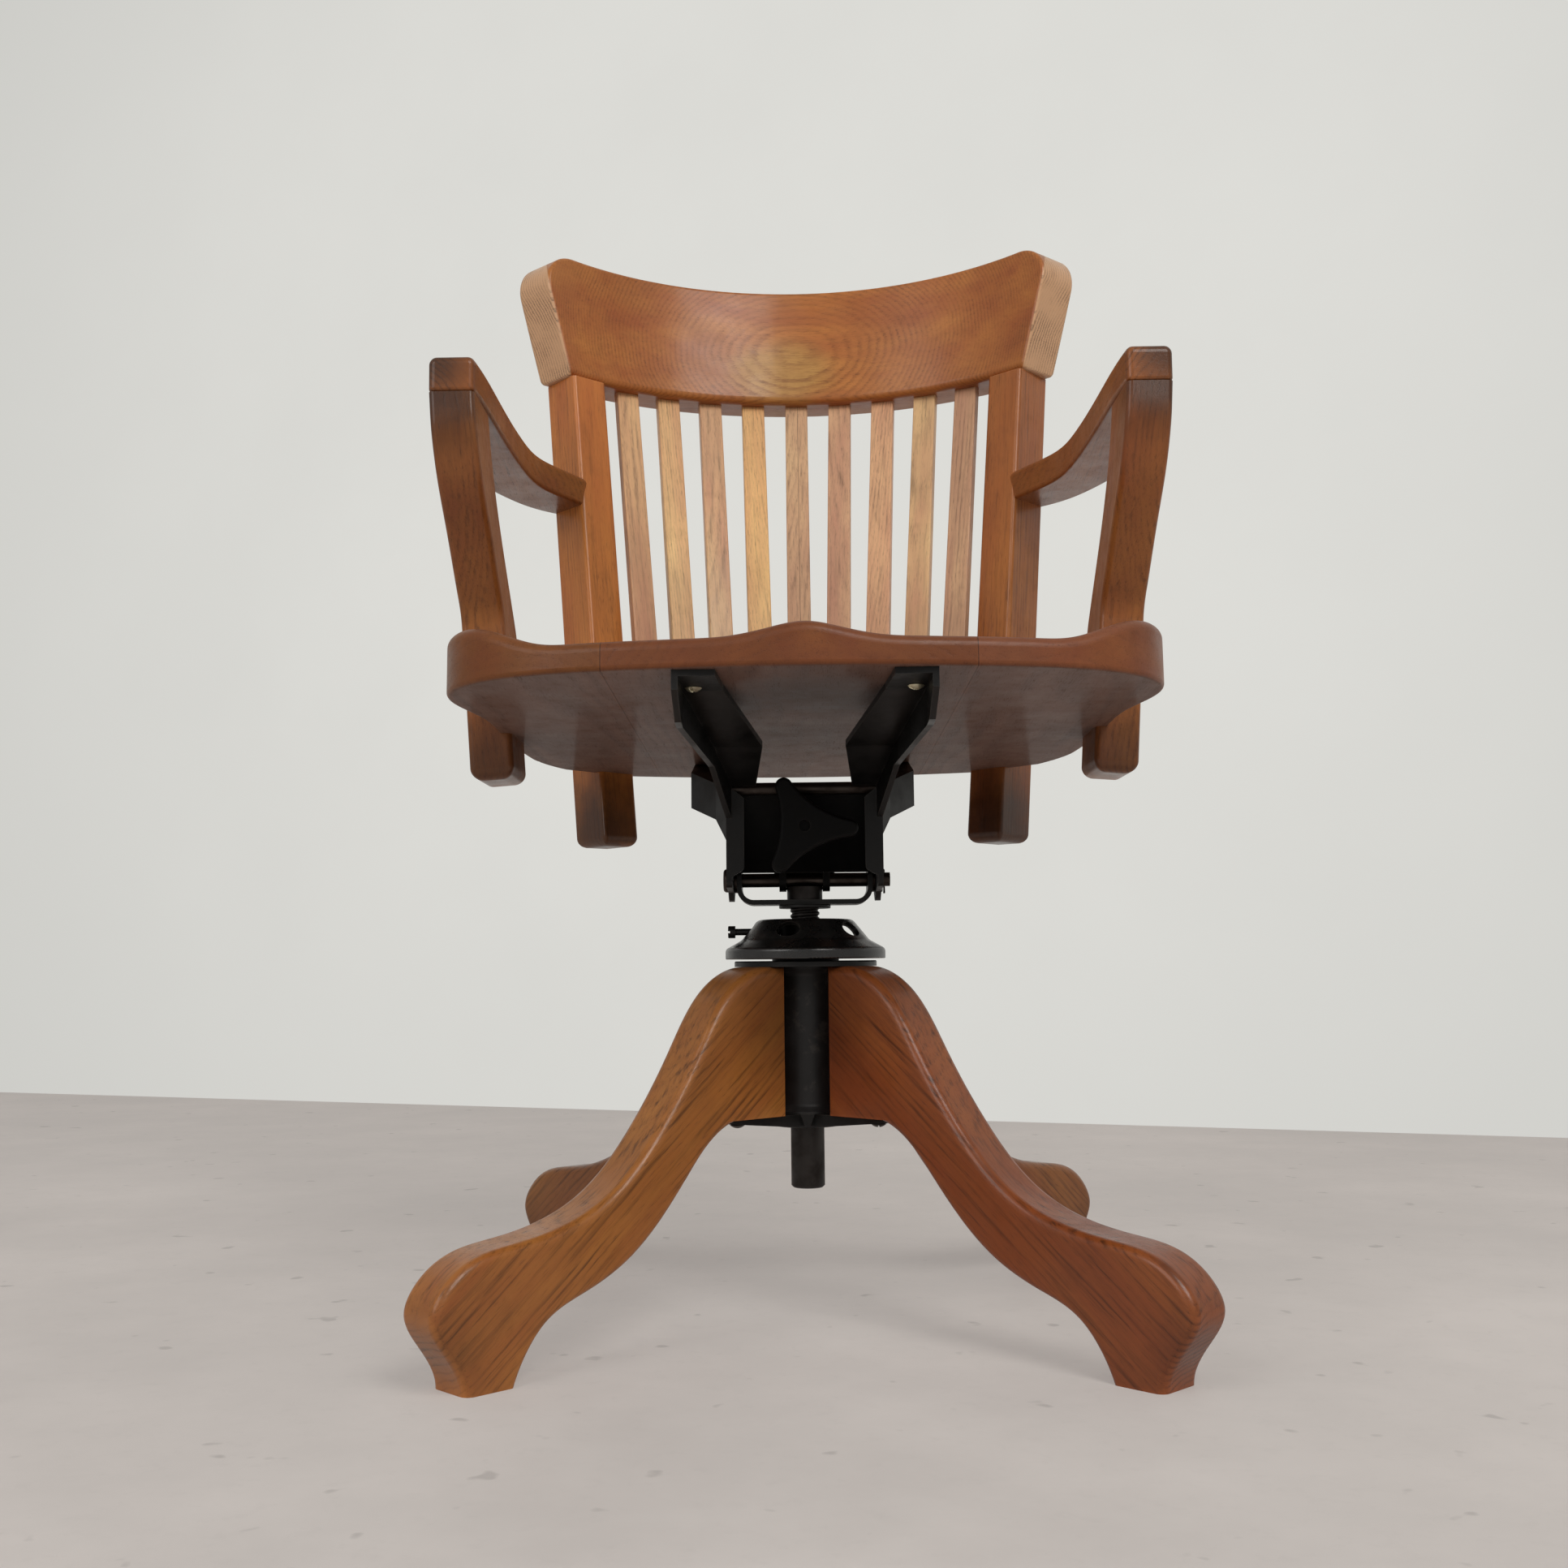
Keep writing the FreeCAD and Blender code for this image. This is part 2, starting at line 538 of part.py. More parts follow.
def make_spindle():
    """Screw spindle with a plain lower sleeve and a bored head that is open in front of the rod."""
    shoulder = STRAP_Z + STRAP_T
    body = turned(((0, SPINDLE_END_Z, 0), (SLEEVE_R, SPINDLE_END_Z, 1.5), (SLEEVE_R, SLEEVE_TOP_Z, 0),
                   (SPINDLE_R, SLEEVE_TOP_Z + 2.0, 0), (SPINDLE_R, shoulder, 0),
                   (SPINDLE_HEAD_R, shoulder, 0), (SPINDLE_HEAD_R, SPINDLE_HEAD_TOP, 1.5),
                   (0, SPINDLE_HEAD_TOP, 0)))
    front = Part.makeBox(4.0 * SPINDLE_HEAD_R, 2.0 * SPINDLE_HEAD_R, SPINDLE_HEAD_TOP,
                         V(-2.0 * SPINDLE_HEAD_R, -2.0 * SPINDLE_HEAD_R, PIVOT_Z - PIVOT_R))
    return body.cut(front).cut(cross_bore(PIVOT_R, 2.0 * SPINDLE_HEAD_R))


def make_strap():
    """U-shaped strap between the spindle's head and the pivot rod."""
    out = STRAP_HALF
    t = STRAP_T
    top = PIVOT_Z + LUG_R - 1.0
    r = STRAP_CORNER
    strap = prism(((-out, top, 0), (-out, STRAP_Z, r), (out, STRAP_Z, r), (out, top, 0),
                   (out - t, top, 0), (out - t, STRAP_Z + t, r - t), (-out + t, STRAP_Z + t, r - t),
                   (-out + t, top, 0)),
                  lambda a, b: V(a, -STRAP_W / 2.0, b), V(0, STRAP_W, 0))
    corners = [e for e in strap.Edges if abs(e.BoundBox.ZMin - top) < 1e-4
               and abs(e.BoundBox.XLength - t) < 1e-3 and e.BoundBox.YLength < 1e-3]
    strap = strap.makeFillet(STRAP_W / 3.0, corners)
    strap = strap.cut(Part.makeCylinder(SPINDLE_R, 4.0 * t, V(0, 0, STRAP_Z - t)))
    return strap.cut(cross_bore(PIVOT_R, 2.0 * out))


def make_spring_post():
    """Forked casting on the pivot rod that takes the push of the spring."""
    half = POST_W / 2.0
    back = POST_FRONT_Y + POST_T
    foot = PIVOT_Z - 0.8 * PIVOT_R
    tail = STRAP_Z + STRAP_T + POST_HEAD_GAP
    plate = prism(((-half, foot, 0), (-POST_TAIL_HALF, foot, 0), (-POST_TAIL_HALF, tail, 1.5),
                   (POST_TAIL_HALF, tail, 1.5), (POST_TAIL_HALF, foot, 0), (half, foot, 0),
                   (half, POST_TOP_Z, POST_TOP_R), (-half, POST_TOP_Z, POST_TOP_R)),
                  lambda a, b: V(a, POST_FRONT_Y, b), V(0, POST_T, 0))
    r = POST_EYE_R
    inside = SPINDLE_HEAD_R + POST_HEAD_GAP
    eye_half = inside + POST_EYE_W
    shoulder = PIVOT_Z + 2.7 * r
    eyes = prism(((-r, PIVOT_Z - r, 0.95 * r), (POST_FRONT_Y + 2.0, PIVOT_Z - r, 3.0), (back, foot, 0),
                  (back, shoulder, 0), (POST_FRONT_Y, shoulder, 2.0), (-r, PIVOT_Z + r, 0.8 * r)),
                 lambda a, b: V(-eye_half, a, b), V(2.0 * eye_half, 0, 0))
    gap = Part.makeBox(2.0 * inside, 3.0 * inside, SPINDLE_HEAD_TOP + POST_HEAD_GAP - STRAP_Z,
                       V(-inside, SPINDLE_HEAD_R + SHAFT_CLEAR - 3.0 * inside, STRAP_Z))
    slot_r = BOLT_R + BOLT_SLOT_GAP
    corner = slot_r - 0.05
    low = SPRING_Z - BOLT_SLOT_DOWN - slot_r
    high = SPRING_Z + BOLT_SLOT_UP + slot_r
    slot = prism(((-slot_r, low, corner), (slot_r, low, corner), (slot_r, high, corner),
                  (-slot_r, high, corner)),
                 lambda a, b: V(a, 0, b), V(0, 2.0 * back, 0))
    post = plate.fuse(eyes).cut(gap).cut(slot).cut(cross_bore(PIVOT_R, 2.0 * half))
    return post.removeSplitter()


def make_yoke():
    """Everything that turns and rises with the spindle."""
    outer = BOX_HALF + SHAFT_CLEAR
    inner_washer = BOX_INNER - STRAP_HALF - 2.0 * SHAFT_CLEAR
    end = outer + PIVOT_WASHER_T

    def washer(x, thickness):
        ring = rod(V(x, 0, PIVOT_Z), V(x + thickness, 0, PIVOT_Z), PIVOT_WASHER_R)
        return ring.cut(cross_bore(PIVOT_R, 2.0 * BOX_HALF))

    washers = [washer(STRAP_HALF, inner_washer), washer(-STRAP_HALF - inner_washer, inner_washer),
               washer(outer, PIVOT_WASHER_T)]
    pin = rod(V(-outer, 0, PIVOT_Z), V(end + PIVOT_END_L, 0, PIVOT_Z), PIVOT_R)
    head = rod(V(-outer, 0, PIVOT_Z), V(-outer - PIVOT_HEAD_T, 0, PIVOT_Z), PIVOT_HEAD_R)
    head = head.makeFillet(PIVOT_HEAD_T * 0.6, edges_where(
        head, lambda p: abs(p.x + outer + PIVOT_HEAD_T) < 1e-4))
    cotter_x = end + COTTER_R
    cotter = rod(V(cotter_x, 0, PIVOT_Z + COTTER_L * 0.42), V(cotter_x, 0, PIVOT_Z - COTTER_L * 0.58),
                 COTTER_R)
    collar = turned(((SPINDLE_R, STRAP_Z - COLLAR_T, 0), (COLLAR_R, STRAP_Z - COLLAR_T, 0.6),
                     (COLLAR_R, STRAP_Z, 0.6), (SPINDLE_R, STRAP_Z, 0)))
    return {"spindle": make_spindle(), "spindle_collar": collar, "yoke_strap": make_strap(),
            "spring_post": make_spring_post(), "pivot_rod": pin.fuse(head).removeSplitter().cut(cotter),
            "pivot_washers": Part.makeCompound(washers), "pivot_cotter": cotter}


# Side brackets and tilt tension

def ruled_strip(stations):
    """Solid through upright rectangles (y, x inside, x outside, z low, z high)."""
    wires = []
    for y, x0, x1, z0, z1 in stations:
        wires.append(Part.makePolygon([V(x0, y, z0), V(x1, y, z0), V(x1, y, z1), V(x0, y, z1),
                                       V(x0, y, z0)]))
    return Part.makeLoft(wires, True, True)


def make_bracket():
    """Pressed iron bracket of the +X side: lugged plate, front arm, rear arm, lip and pads."""
    t = PLATE_T
    plate = prism(((-BOX_FRONT, BOX_FRONT_FOOT_Z, 4.0), (-LUG_R - 4.0, BOX_FRONT_FOOT_Z - 2.0, 4.0),
                   (0, PIVOT_Z - LUG_R - 4.0, LUG_R), (LUG_R + 8.0, PIVOT_Z - LUG_R + 8.0, 6.0),
                   (BOX_REAR, BOX_FRONT_FOOT_Z + 28.0, 6.0), (BOX_REAR, BOX_TOP_Z, 0),
                   (-BOX_FRONT, BOX_TOP_Z, 0)),
                  lambda a, b: V(BOX_INNER, a, b), V(t, 0, 0))
    lip = prism(((BOX_HALF, BOX_FRONT_FOOT_Z + 5.0, 0), (BOX_HALF, BOX_TOP_Z - 6.0, 0),
                 (BOX_HALF - LIP_W, BOX_TOP_Z - 16.0, 0),
                 (BOX_HALF - LIP_W, BOX_FRONT_FOOT_Z + 12.0, 4.0)),
                lambda a, b: V(a, -BOX_FRONT, b), V(0, LIP_T, 0))
    pad_end = FRONT_PAD_Y + FRONT_PAD_L
    top_a = seat_underside(FRONT_PAD_Y)
    top_b = seat_underside(pad_end)
    elbow_y = -BOX_FRONT - 50.0
    elbow_z = BOX_TOP_Z + 17.0
    elbow_out = (BOX_HALF + FRONT_PAD_OUT) / 2.0 - 3.0
    front_flange = ruled_strip(((FRONT_PAD_Y, FRONT_PAD_IN, FRONT_PAD_OUT, top_a - t, top_a),
                                (pad_end, FRONT_PAD_IN - 3.0, FRONT_PAD_OUT, top_b - t, top_b),
                                (elbow_y, elbow_out - 36.0, elbow_out, elbow_z - t, elbow_z),
                                (-BOX_FRONT, BOX_HALF - 21.0, BOX_HALF, BOX_TOP_Z - 2.0 * t,
                                 BOX_TOP_Z)))
    front_web = ruled_strip(((FRONT_PAD_Y, FRONT_PAD_OUT - t, FRONT_PAD_OUT, top_a - 12.0, top_a),
                             (FRONT_PAD_Y + 30.0, FRONT_PAD_OUT - t, FRONT_PAD_OUT, top_a - 27.0,
                              seat_underside(FRONT_PAD_Y + 30.0)),
                             (pad_end, FRONT_PAD_OUT - t, FRONT_PAD_OUT, top_b - 27.0, top_b),
                             (elbow_y, elbow_out - t, elbow_out, elbow_z - 17.0, elbow_z),
                             (-BOX_FRONT, BOX_INNER, BOX_HALF, BOX_TOP_Z - 30.0, BOX_TOP_Z)))
    rear_start = REAR_PAD_Y - REAR_PAD_L
    top_c = seat_underside(rear_start)
    top_d = seat_underside(REAR_PAD_Y)
    knee_y = BOX_REAR + 22.0
    knee_out = (BOX_HALF + REAR_PAD_OUT) / 2.0 - 4.0
    rear_web = ruled_strip(((BOX_REAR, BOX_INNER, BOX_HALF, BOX_FRONT_FOOT_Z + 32.0, BOX_TOP_Z),
                            (knee_y, knee_out - t, knee_out, BOX_TOP_Z - 20.0, BOX_TOP_Z + 8.0),
                            (BOX_REAR + 52.0, REAR_PAD_OUT - t, REAR_PAD_OUT, BOX_TOP_Z - 8.0,
                             BOX_TOP_Z + 20.0),
                            (rear_start, REAR_PAD_OUT - t, REAR_PAD_OUT, top_c - 20.0, top_c),
                            (REAR_PAD_Y, REAR_PAD_OUT - t, REAR_PAD_OUT, top_d - 8.0, top_d)))
    rear_flange = ruled_strip(((BOX_REAR, BOX_INNER - 8.0, BOX_HALF, BOX_TOP_Z - t, BOX_TOP_Z),
                               (knee_y, knee_out - 14.0, knee_out, BOX_TOP_Z + 8.0 - t,
                                BOX_TOP_Z + 8.0),
                               (BOX_REAR + 52.0, REAR_PAD_OUT - 20.0, REAR_PAD_OUT,
                                BOX_TOP_Z + 20.0 - t, BOX_TOP_Z + 20.0),
                               (rear_start, REAR_PAD_IN, REAR_PAD_OUT, top_c - t, top_c),
                               (REAR_PAD_Y, REAR_PAD_IN, REAR_PAD_OUT, top_d - t, top_d)))
    bracket = plate.fuse([lip, front_flange, front_web, rear_web, rear_flange])
    bracket = bracket.cut(cross_bore(PIVOT_R + SHAFT_CLEAR, 90.0))
    return bracket.cut(rod(V(0, CROSS_ROD_Y, CROSS_ROD_Z), V(90.0, CROSS_ROD_Y, CROSS_ROD_Z),
                           CROSS_ROD_R))


def plate_front(z):
    """Position of the dished pressure plate's front face at a height."""
    half = CROSS_ROD_Z - SPRING_Z
    radius = (half ** 2 + PRESS_PLATE_DISH ** 2) / (2.0 * PRESS_PLATE_DISH)
    return PRESS_PLATE_Y - radius + sqrt(radius ** 2 - (z - SPRING_Z) ** 2)


def make_pressure_plate():
    """Dished plate behind the upper rod that squeezes the spring."""
    half = BOX_INNER - PRESS_PLATE_GAP
    t = PRESS_PLATE_T
    high = CROSS_ROD_Z
    low = PRESS_PLATE_FOOT_Z

    def bow(back):
        def at(z):
            return V(-half, plate_front(z) + back, z)
        return Part.Arc(at(low), at(SPRING_Z), at(high)).toShape(), at(low), at(high)

    front, front_low, front_high = bow(0.0)
    rear, rear_low, rear_high = bow(t)
    outline = Part.Wire([front, Part.LineSegment(front_high, rear_high).toShape(), rear,
                         Part.LineSegment(rear_low, front_low).toShape()])
    plate = Part.Face(outline).extrude(V(2.0 * half, 0, 0))
    return plate.cut(rod(V(0, PRESS_PLATE_Y - t, SPRING_Z), V(0, PRESS_PLATE_Y + 2.0 * t, SPRING_Z),
                         BOLT_R + SHAFT_CLEAR))


def biarc(p0, t0, p1, t1):
    """Two tangent arcs from p0 along t0 to p1 along t1, both directions of unit length."""
    chord = p1 - p0
    both = t0 + t1
    spread = 2.0 * (1.0 - t0.dot(t1))
    push = chord.dot(both)
    reach = (-push + sqrt(push * push + spread * chord.dot(chord))) / spread
    joint = (p0 + t0 * reach + p1 - t1 * reach) * 0.5
    arcs = []
    for start, end, direction, sign in ((p0, joint, t0, 1.0), (joint, p1, t1, -1.0)):
        line = end - start
        unit = line * (1.0 / line.Length)
        off = (direction - unit * direction.dot(unit)) * sign
        side = off * (1.0 / off.Length)
        cosine = min(1.0, direction.dot(unit))
        bulge = line.Length / 2.0 * tan(0.5 * asin(sqrt(max(0.0, 1.0 - cosine * cosine))))
        middle = (start + end) * 0.5 + side * bulge
        arcs.append(Part.Arc(start, middle, end).toShape())
    return arcs


def spring_path():
    """Axial position of the spring's wire after a number of turns, and the number of turns."""
    free = POST_FRONT_Y - SPRING_FRONT_Y - 2.0 * SPRING_SEAT_GAP - SPRING_WIRE
    ends = SPRING_END_TURNS * SPRING_END_PITCH
    pitch = (free - 2.0 * ends) / SPRING_BODY_TURNS
    start = SPRING_FRONT_Y + SPRING_SEAT_GAP + SPRING_WIRE / 2.0
    total = 2.0 * SPRING_END_TURNS + SPRING_BODY_TURNS

    def along(turn):
        if turn < SPRING_END_TURNS:
            return start + turn * SPRING_END_PITCH, SPRING_END_PITCH
        if turn > total - SPRING_END_TURNS:
            return start + free - (total - turn) * SPRING_END_PITCH, SPRING_END_PITCH
        return start + ends + (turn - SPRING_END_TURNS) * pitch, pitch
    return along, total


def make_spring():
    """Compression spring round the tension bolt, as one unbroken wire."""
    along, total = spring_path()
    steps = int(round(total * 4))

    def point(turn):
        y, _ = along(turn)
        angle = 2.0 * pi * turn
        return V(SPRING_MEAN_R * cos(angle), y, SPRING_Z + SPRING_MEAN_R * sin(angle))

    def direction(turn):
        _, pitch = along(turn)
        angle = 2.0 * pi * turn
        run = V(-sin(angle) * 2.0 * pi * SPRING_MEAN_R, pitch, cos(angle) * 2.0 * pi * SPRING_MEAN_R)
        return run * (1.0 / run.Length)
    edges = []
    for i in range(steps):
        a = i / 4.0
        b = (i + 1) / 4.0
        edges += biarc(point(a), direction(a), point(b), direction(b))
    path = Part.Wire(edges)
    ring = Part.Wire([Part.Circle(point(0.0), direction(0.0), SPRING_WIRE / 2.0).toShape()])
    pipe = Part.BRepOffsetAPI.MakePipeShell(path)
    pipe.add(ring, False, False)
    pipe.build()
    pipe.makeSolid()
    samples = [point(total * i / 200.0) for i in range(201)]
    apart = int(round(0.5 / total * 200))
    gap = min((samples[i] - samples[j]).Length for i in range(201) for j in range(i + apart, 201))
    print("spring: least gap between turns", round(gap - SPRING_WIRE, 2), "mm")
    return pipe.shape()


def make_knob():
    """Three-lobed cast knob with a hub that reaches back to the pressure plate."""
    front = BOLT_FRONT_Y - KNOB_PROUD

    def at(radius, angle):
        return V(radius * cos(angle), front, SPRING_Z + radius * sin(angle))
    edges = []
    step = 2.0 * pi / KNOB_LOBES
    far = KNOB_TIP_AT
    tip = KNOB_TIP_R
    valley = KNOB_VALLEY
    hollow = (far * far + valley * valley - far * valley - tip * tip) / (far + 2.0 * tip - 2.0 * valley)
    reach = valley + hollow
    spread = pi / 2.0 - atan((reach * cos(step / 2.0) - far) / (reach * sin(step / 2.0)))
    for i in range(KNOB_LOBES):
        angle = radians(KNOB_TURN) + i * step
        centre = at(KNOB_TIP_AT, angle)

        def on_tip(turn, middle=centre):
            return middle + V(KNOB_TIP_R * cos(turn), 0, KNOB_TIP_R * sin(turn))
        edges.append(Part.Arc(on_tip(angle - spread), on_tip(angle), on_tip(angle + spread)).toShape())
        following = angle + step
        next_centre = at(KNOB_TIP_AT, following)
        edges.append(Part.Arc(on_tip(angle + spread), at(KNOB_VALLEY, angle + step / 2.0),
                              on_tip(following - spread, next_centre)).toShape())
    star = Part.Face(Part.Wire(edges)).extrude(V(0, KNOB_T, 0))
    star = star.makeFillet(2.5, edges_where(star, lambda p: abs(p.y - front) < 1e-4))
    star = star.makeFillet(1.5, edges_where(star, lambda p: abs(p.y - front - KNOB_T) < 1e-4))
    hub_end = plate_front(SPRING_Z + KNOB_HUB_R) - KNOB_HUB_GAP
    hub = rod(V(0, front + KNOB_T / 2.0, SPRING_Z), V(0, hub_end, SPRING_Z), KNOB_HUB_R)
    knob = star.fuse(hub).removeSplitter()
    return knob.cut(rod(V(0, front - 1.0, SPRING_Z), V(0, PRESS_PLATE_Y, SPRING_Z),
                        BOLT_R + SHAFT_CLEAR))


def make_bolt():
    """Tension bolt with a six-sided head behind the spring post, and its washer."""
    seat_y = POST_FRONT_Y + POST_T
    washer = rod(V(0, seat_y, SPRING_Z), V(0, seat_y + BOLT_WASHER_T, SPRING_Z), BOLT_WASHER_R)
    washer = washer.cut(rod(V(0, seat_y - 1.0, SPRING_Z), V(0, seat_y + 9.0, SPRING_Z), BOLT_R))
    corners = []
    for i in range(6):
        angle = pi / 3.0 * i
        corners.append((BOLT_HEAD_R * cos(angle), SPRING_Z + BOLT_HEAD_R * sin(angle), 0))
    head_y = seat_y + BOLT_WASHER_T
    head = prism(corners, lambda a, b: V(a, head_y, b), V(0, BOLT_HEAD_T, 0))
    shank = rod(V(0, BOLT_FRONT_Y, SPRING_Z), V(0, head_y + 1.0, SPRING_Z), BOLT_R)
    return shank.fuse(head).removeSplitter(), washer


def make_tilt_iron():
    """Side brackets with their rod, screws and the tilt tension."""
    right = make_bracket()
    screws = []
    for x, y in (FRONT_SCREW_AT,) + REAR_SCREWS_AT:
        for side in (1.0, -1.0):
            screws.append(screw(V(side * x, y, seat_underside(y) - PLATE_T - 0.3), V(0, 0, 1),
                                BRACKET_SCREW_L))
    all_screws = Part.makeCompound(screws)
    cross_rod = rod(V(-BOX_HALF - 4.0, CROSS_ROD_Y, CROSS_ROD_Z),
                    V(BOX_HALF + 4.0, CROSS_ROD_Y, CROSS_ROD_Z), CROSS_ROD_R)
    cross_rod = cross_rod.makeFillet(1.5, edges_where(
        cross_rod, lambda p: abs(abs(p.x) - BOX_HALF - 4.0) < 1e-4))
    bolt, washer = make_bolt()
    return {"side_bracket_right": right.cut(all_screws),
            "side_bracket_left": mirrored(right).cut(all_screws),
            "bracket_screws": all_screws, "cross_rod": cross_rod,
            "pressure_plate": make_pressure_plate(), "tension_spring": make_spring(),
            "tension_bolt": bolt, "bolt_washer": washer, "tension_knob": make_knob()}


# Oak upper part

def seat_height(x, y):
    """Thickness of the saddled seat at a point of its plan."""
    def rise(a, b, value):
        share = min(1.0, max(0.0, (value - a) / (b - a)))
        return share * share * (3.0 - 2.0 * share)
    side = 1.0 - rise(0.64 * SEAT_HALF, 0.94 * SEAT_HALF, abs(x))
    back = 1.0 - rise(0.10 * SEAT_REAR, 0.72 * SEAT_REAR, y + 0.0012 * x * x)
    front = rise(-0.2 * SEAT_FRONT, -0.9 * SEAT_FRONT, y)
    pommel = POMMEL_RISE * exp(-(x / 30.0) ** 2) * front
    roll = 2.0 * front * side
    return SEAT_RIM - SEAT_DISH * side * back + pommel - roll


def seat_outline():
    """Plan of the seat: bowed front, rounded corners, nipped sides, cut corners and bowed back."""
    half = SEAT_HALF
    waist = SEAT_WAIST
    front = -SEAT_FRONT
    post_x, post_y = BACK_POST_AT
    cut_x = post_x + BACK_POST_HOUSING * sin(PHI)
    cut_y = post_y + BACK_POST_HOUSING * cos(PHI)
    outer = (cut_x + 29.0 * cos(PHI), cut_y - 29.0 * sin(PHI))
    inner = (cut_x - 40.0 * cos(PHI), cut_y + 40.0 * sin(PHI))
    right = [(0, front), (0.413 * half, front + 7), (0.652 * half, front + 17),
             (0.826 * half, front + 34), (0.943 * half, front + 60), (half, front + 102),
             (half - 2, front + 128), (waist + 1, -80), (waist, 0), (waist - 1, 75), (waist - 4, 118)]
    front_half = [V(x, y, 0) for x, y in right]
    whole = [V(-p.x, p.y, 0) for p in reversed(front_half[1:])] + front_half
    last = whole[-1]
    shoulder = (waist - 9.0, 141.0)
    edges = [spline(whole)]
    for sign in (1.0, -1.0):
        a = V(sign * last.x, last.y, 0)
        b = V(sign * shoulder[0], shoulder[1], 0)
        c = V(sign * outer[0], outer[1], 0)
        d = V(sign * inner[0], inner[1], 0)
        edges.append(Part.Arc(a, b, c).toShape())
        edges.append(Part.LineSegment(c, d).toShape())
    edges.append(Part.Arc(V(inner[0], inner[1], 0), V(0, SEAT_REAR, 0),
                          V(-inner[0], inner[1], 0)).toShape())
    return Part.Wire(Part.__sortEdges__(edges))


def make_seat_blank():
    """Saddled seat before it is notched, in its sloping place."""
    blank = Part.Face(seat_outline()).extrude(V(0, 0, SEAT_RIM + 12.0))
    rows = []
    for i in range(23):
        x = -SEAT_HALF - 20.0 + i * (2.0 * SEAT_HALF + 40.0) / 22.0
        row = []
        for j in range(21):
            y = -SEAT_FRONT - 20.0 + j * (SEAT_FRONT + SEAT_REAR + 40.0) / 20.0
            row.append(V(x, y, seat_height(x, y)))
        rows.append(row)
    surface = Part.BSplineSurface()
    surface.interpolate(rows)
    below = surface.toShape().extrude(V(0, 0, -SEAT_RIM - 60.0))
    seat = blank.common(below)
    rim = [e for e in edges_where(seat, lambda p: p.z > 5.0)
           if e.BoundBox.ZLength < SEAT_RIM * 0.8 and e.Length > 12.0]
    rim = [e for e in rim if not (e.BoundBox.XLength < 1e-3 and e.BoundBox.YLength < 1e-3)]
    seat = seat.makeFillet(SEAT_EDGE_R, rim)
    foot = edges_where(seat, lambda p: abs(p.z) < 1e-4)
    seat = seat.makeFillet(SEAT_LOWER_EDGE_R, foot)
    seat.rotate(V(0, 0, 0), V(1, 0, 0), -SEAT_SLOPE)
    seat.translate(V(0, 0, SEAT_Z))
    return seat


def back_post_section():
    """Corners of the right back post's level section, relative to its front corner."""
    inward = (-cos(PHI), sin(PHI))
    rearward = (sin(PHI), cos(PHI))
    a = BACK_POST_A
    b = BACK_POST_B
    return ((0, 0), (a * inward[0], a * inward[1]),
            (a * inward[0] + b * rearward[0], a * inward[1] + b * rearward[1]),
            (b * rearward[0], b * rearward[1]))


def back_post_corner(z):
    """Front corner of the right back post at a height."""
    rise = z - SEAT_Z
    return BACK_POST_AT[0] + BACK_POST_SPLAY * rise, BACK_POST_AT[1] + BACK_LEAN * rise


def make_back_post():
    """Leaning, splayed back post of the +X side, with a bullnosed foot and a tenon."""
    x0, y0 = back_post_corner(BACK_POST_FOOT_Z)
    corners = [(x0 + dx, y0 + dy, 0) for dx, dy in back_post_section()]
    rise = CREST_Z - BACK_POST_FOOT_Z
    post = prism(corners, lambda a, b: V(a, b, BACK_POST_FOOT_Z),
                 V(BACK_POST_SPLAY * rise, BACK_LEAN * rise, rise))
    foot = edges_where(post, lambda p: abs(p.z - BACK_POST_FOOT_Z) < 1e-4)
    post = post.makeFillet(BACK_POST_FOOT_R, foot)
    post = post.makeFillet(POST_EDGE_R, [e for e in post.Edges if e.BoundBox.ZLength > rise * 0.8])
    x1, y1 = back_post_corner(CREST_Z)
    centre = V(x1, y1, CREST_Z)
    for dx, dy in back_post_section():
        centre = centre + V(dx, dy, 0) * 0.25
    tenon = []
    for a, b in ((-1, -1), (1, -1), (1, 1), (-1, 1)):
        spot = centre + V(cos(PHI), -sin(PHI), 0) * (a * TENON_W / 2.0)
        spot = spot + V(sin(PHI), cos(PHI), 0) * (b * TENON_T / 2.0)
        tenon.append((spot.x, spot.y, 0))
    tongue = prism(tenon, lambda a, b: V(a, b, CREST_Z - 1.0),
                   V(BACK_POST_SPLAY, BACK_LEAN, 1.0) * (TENON_L + 1.0))
    return post.fuse(tongue).removeSplitter()


def half_space(point, normal, size):
    """Large block whose face passes through point and which lies on the normal's side."""
    block = Part.makeBox(size, size, size, V(-size / 2.0, -size / 2.0, 0))
    block.Placement = FreeCAD.Placement(point, FreeCAD.Rotation(V(0, 0, 1), normal))
    return block


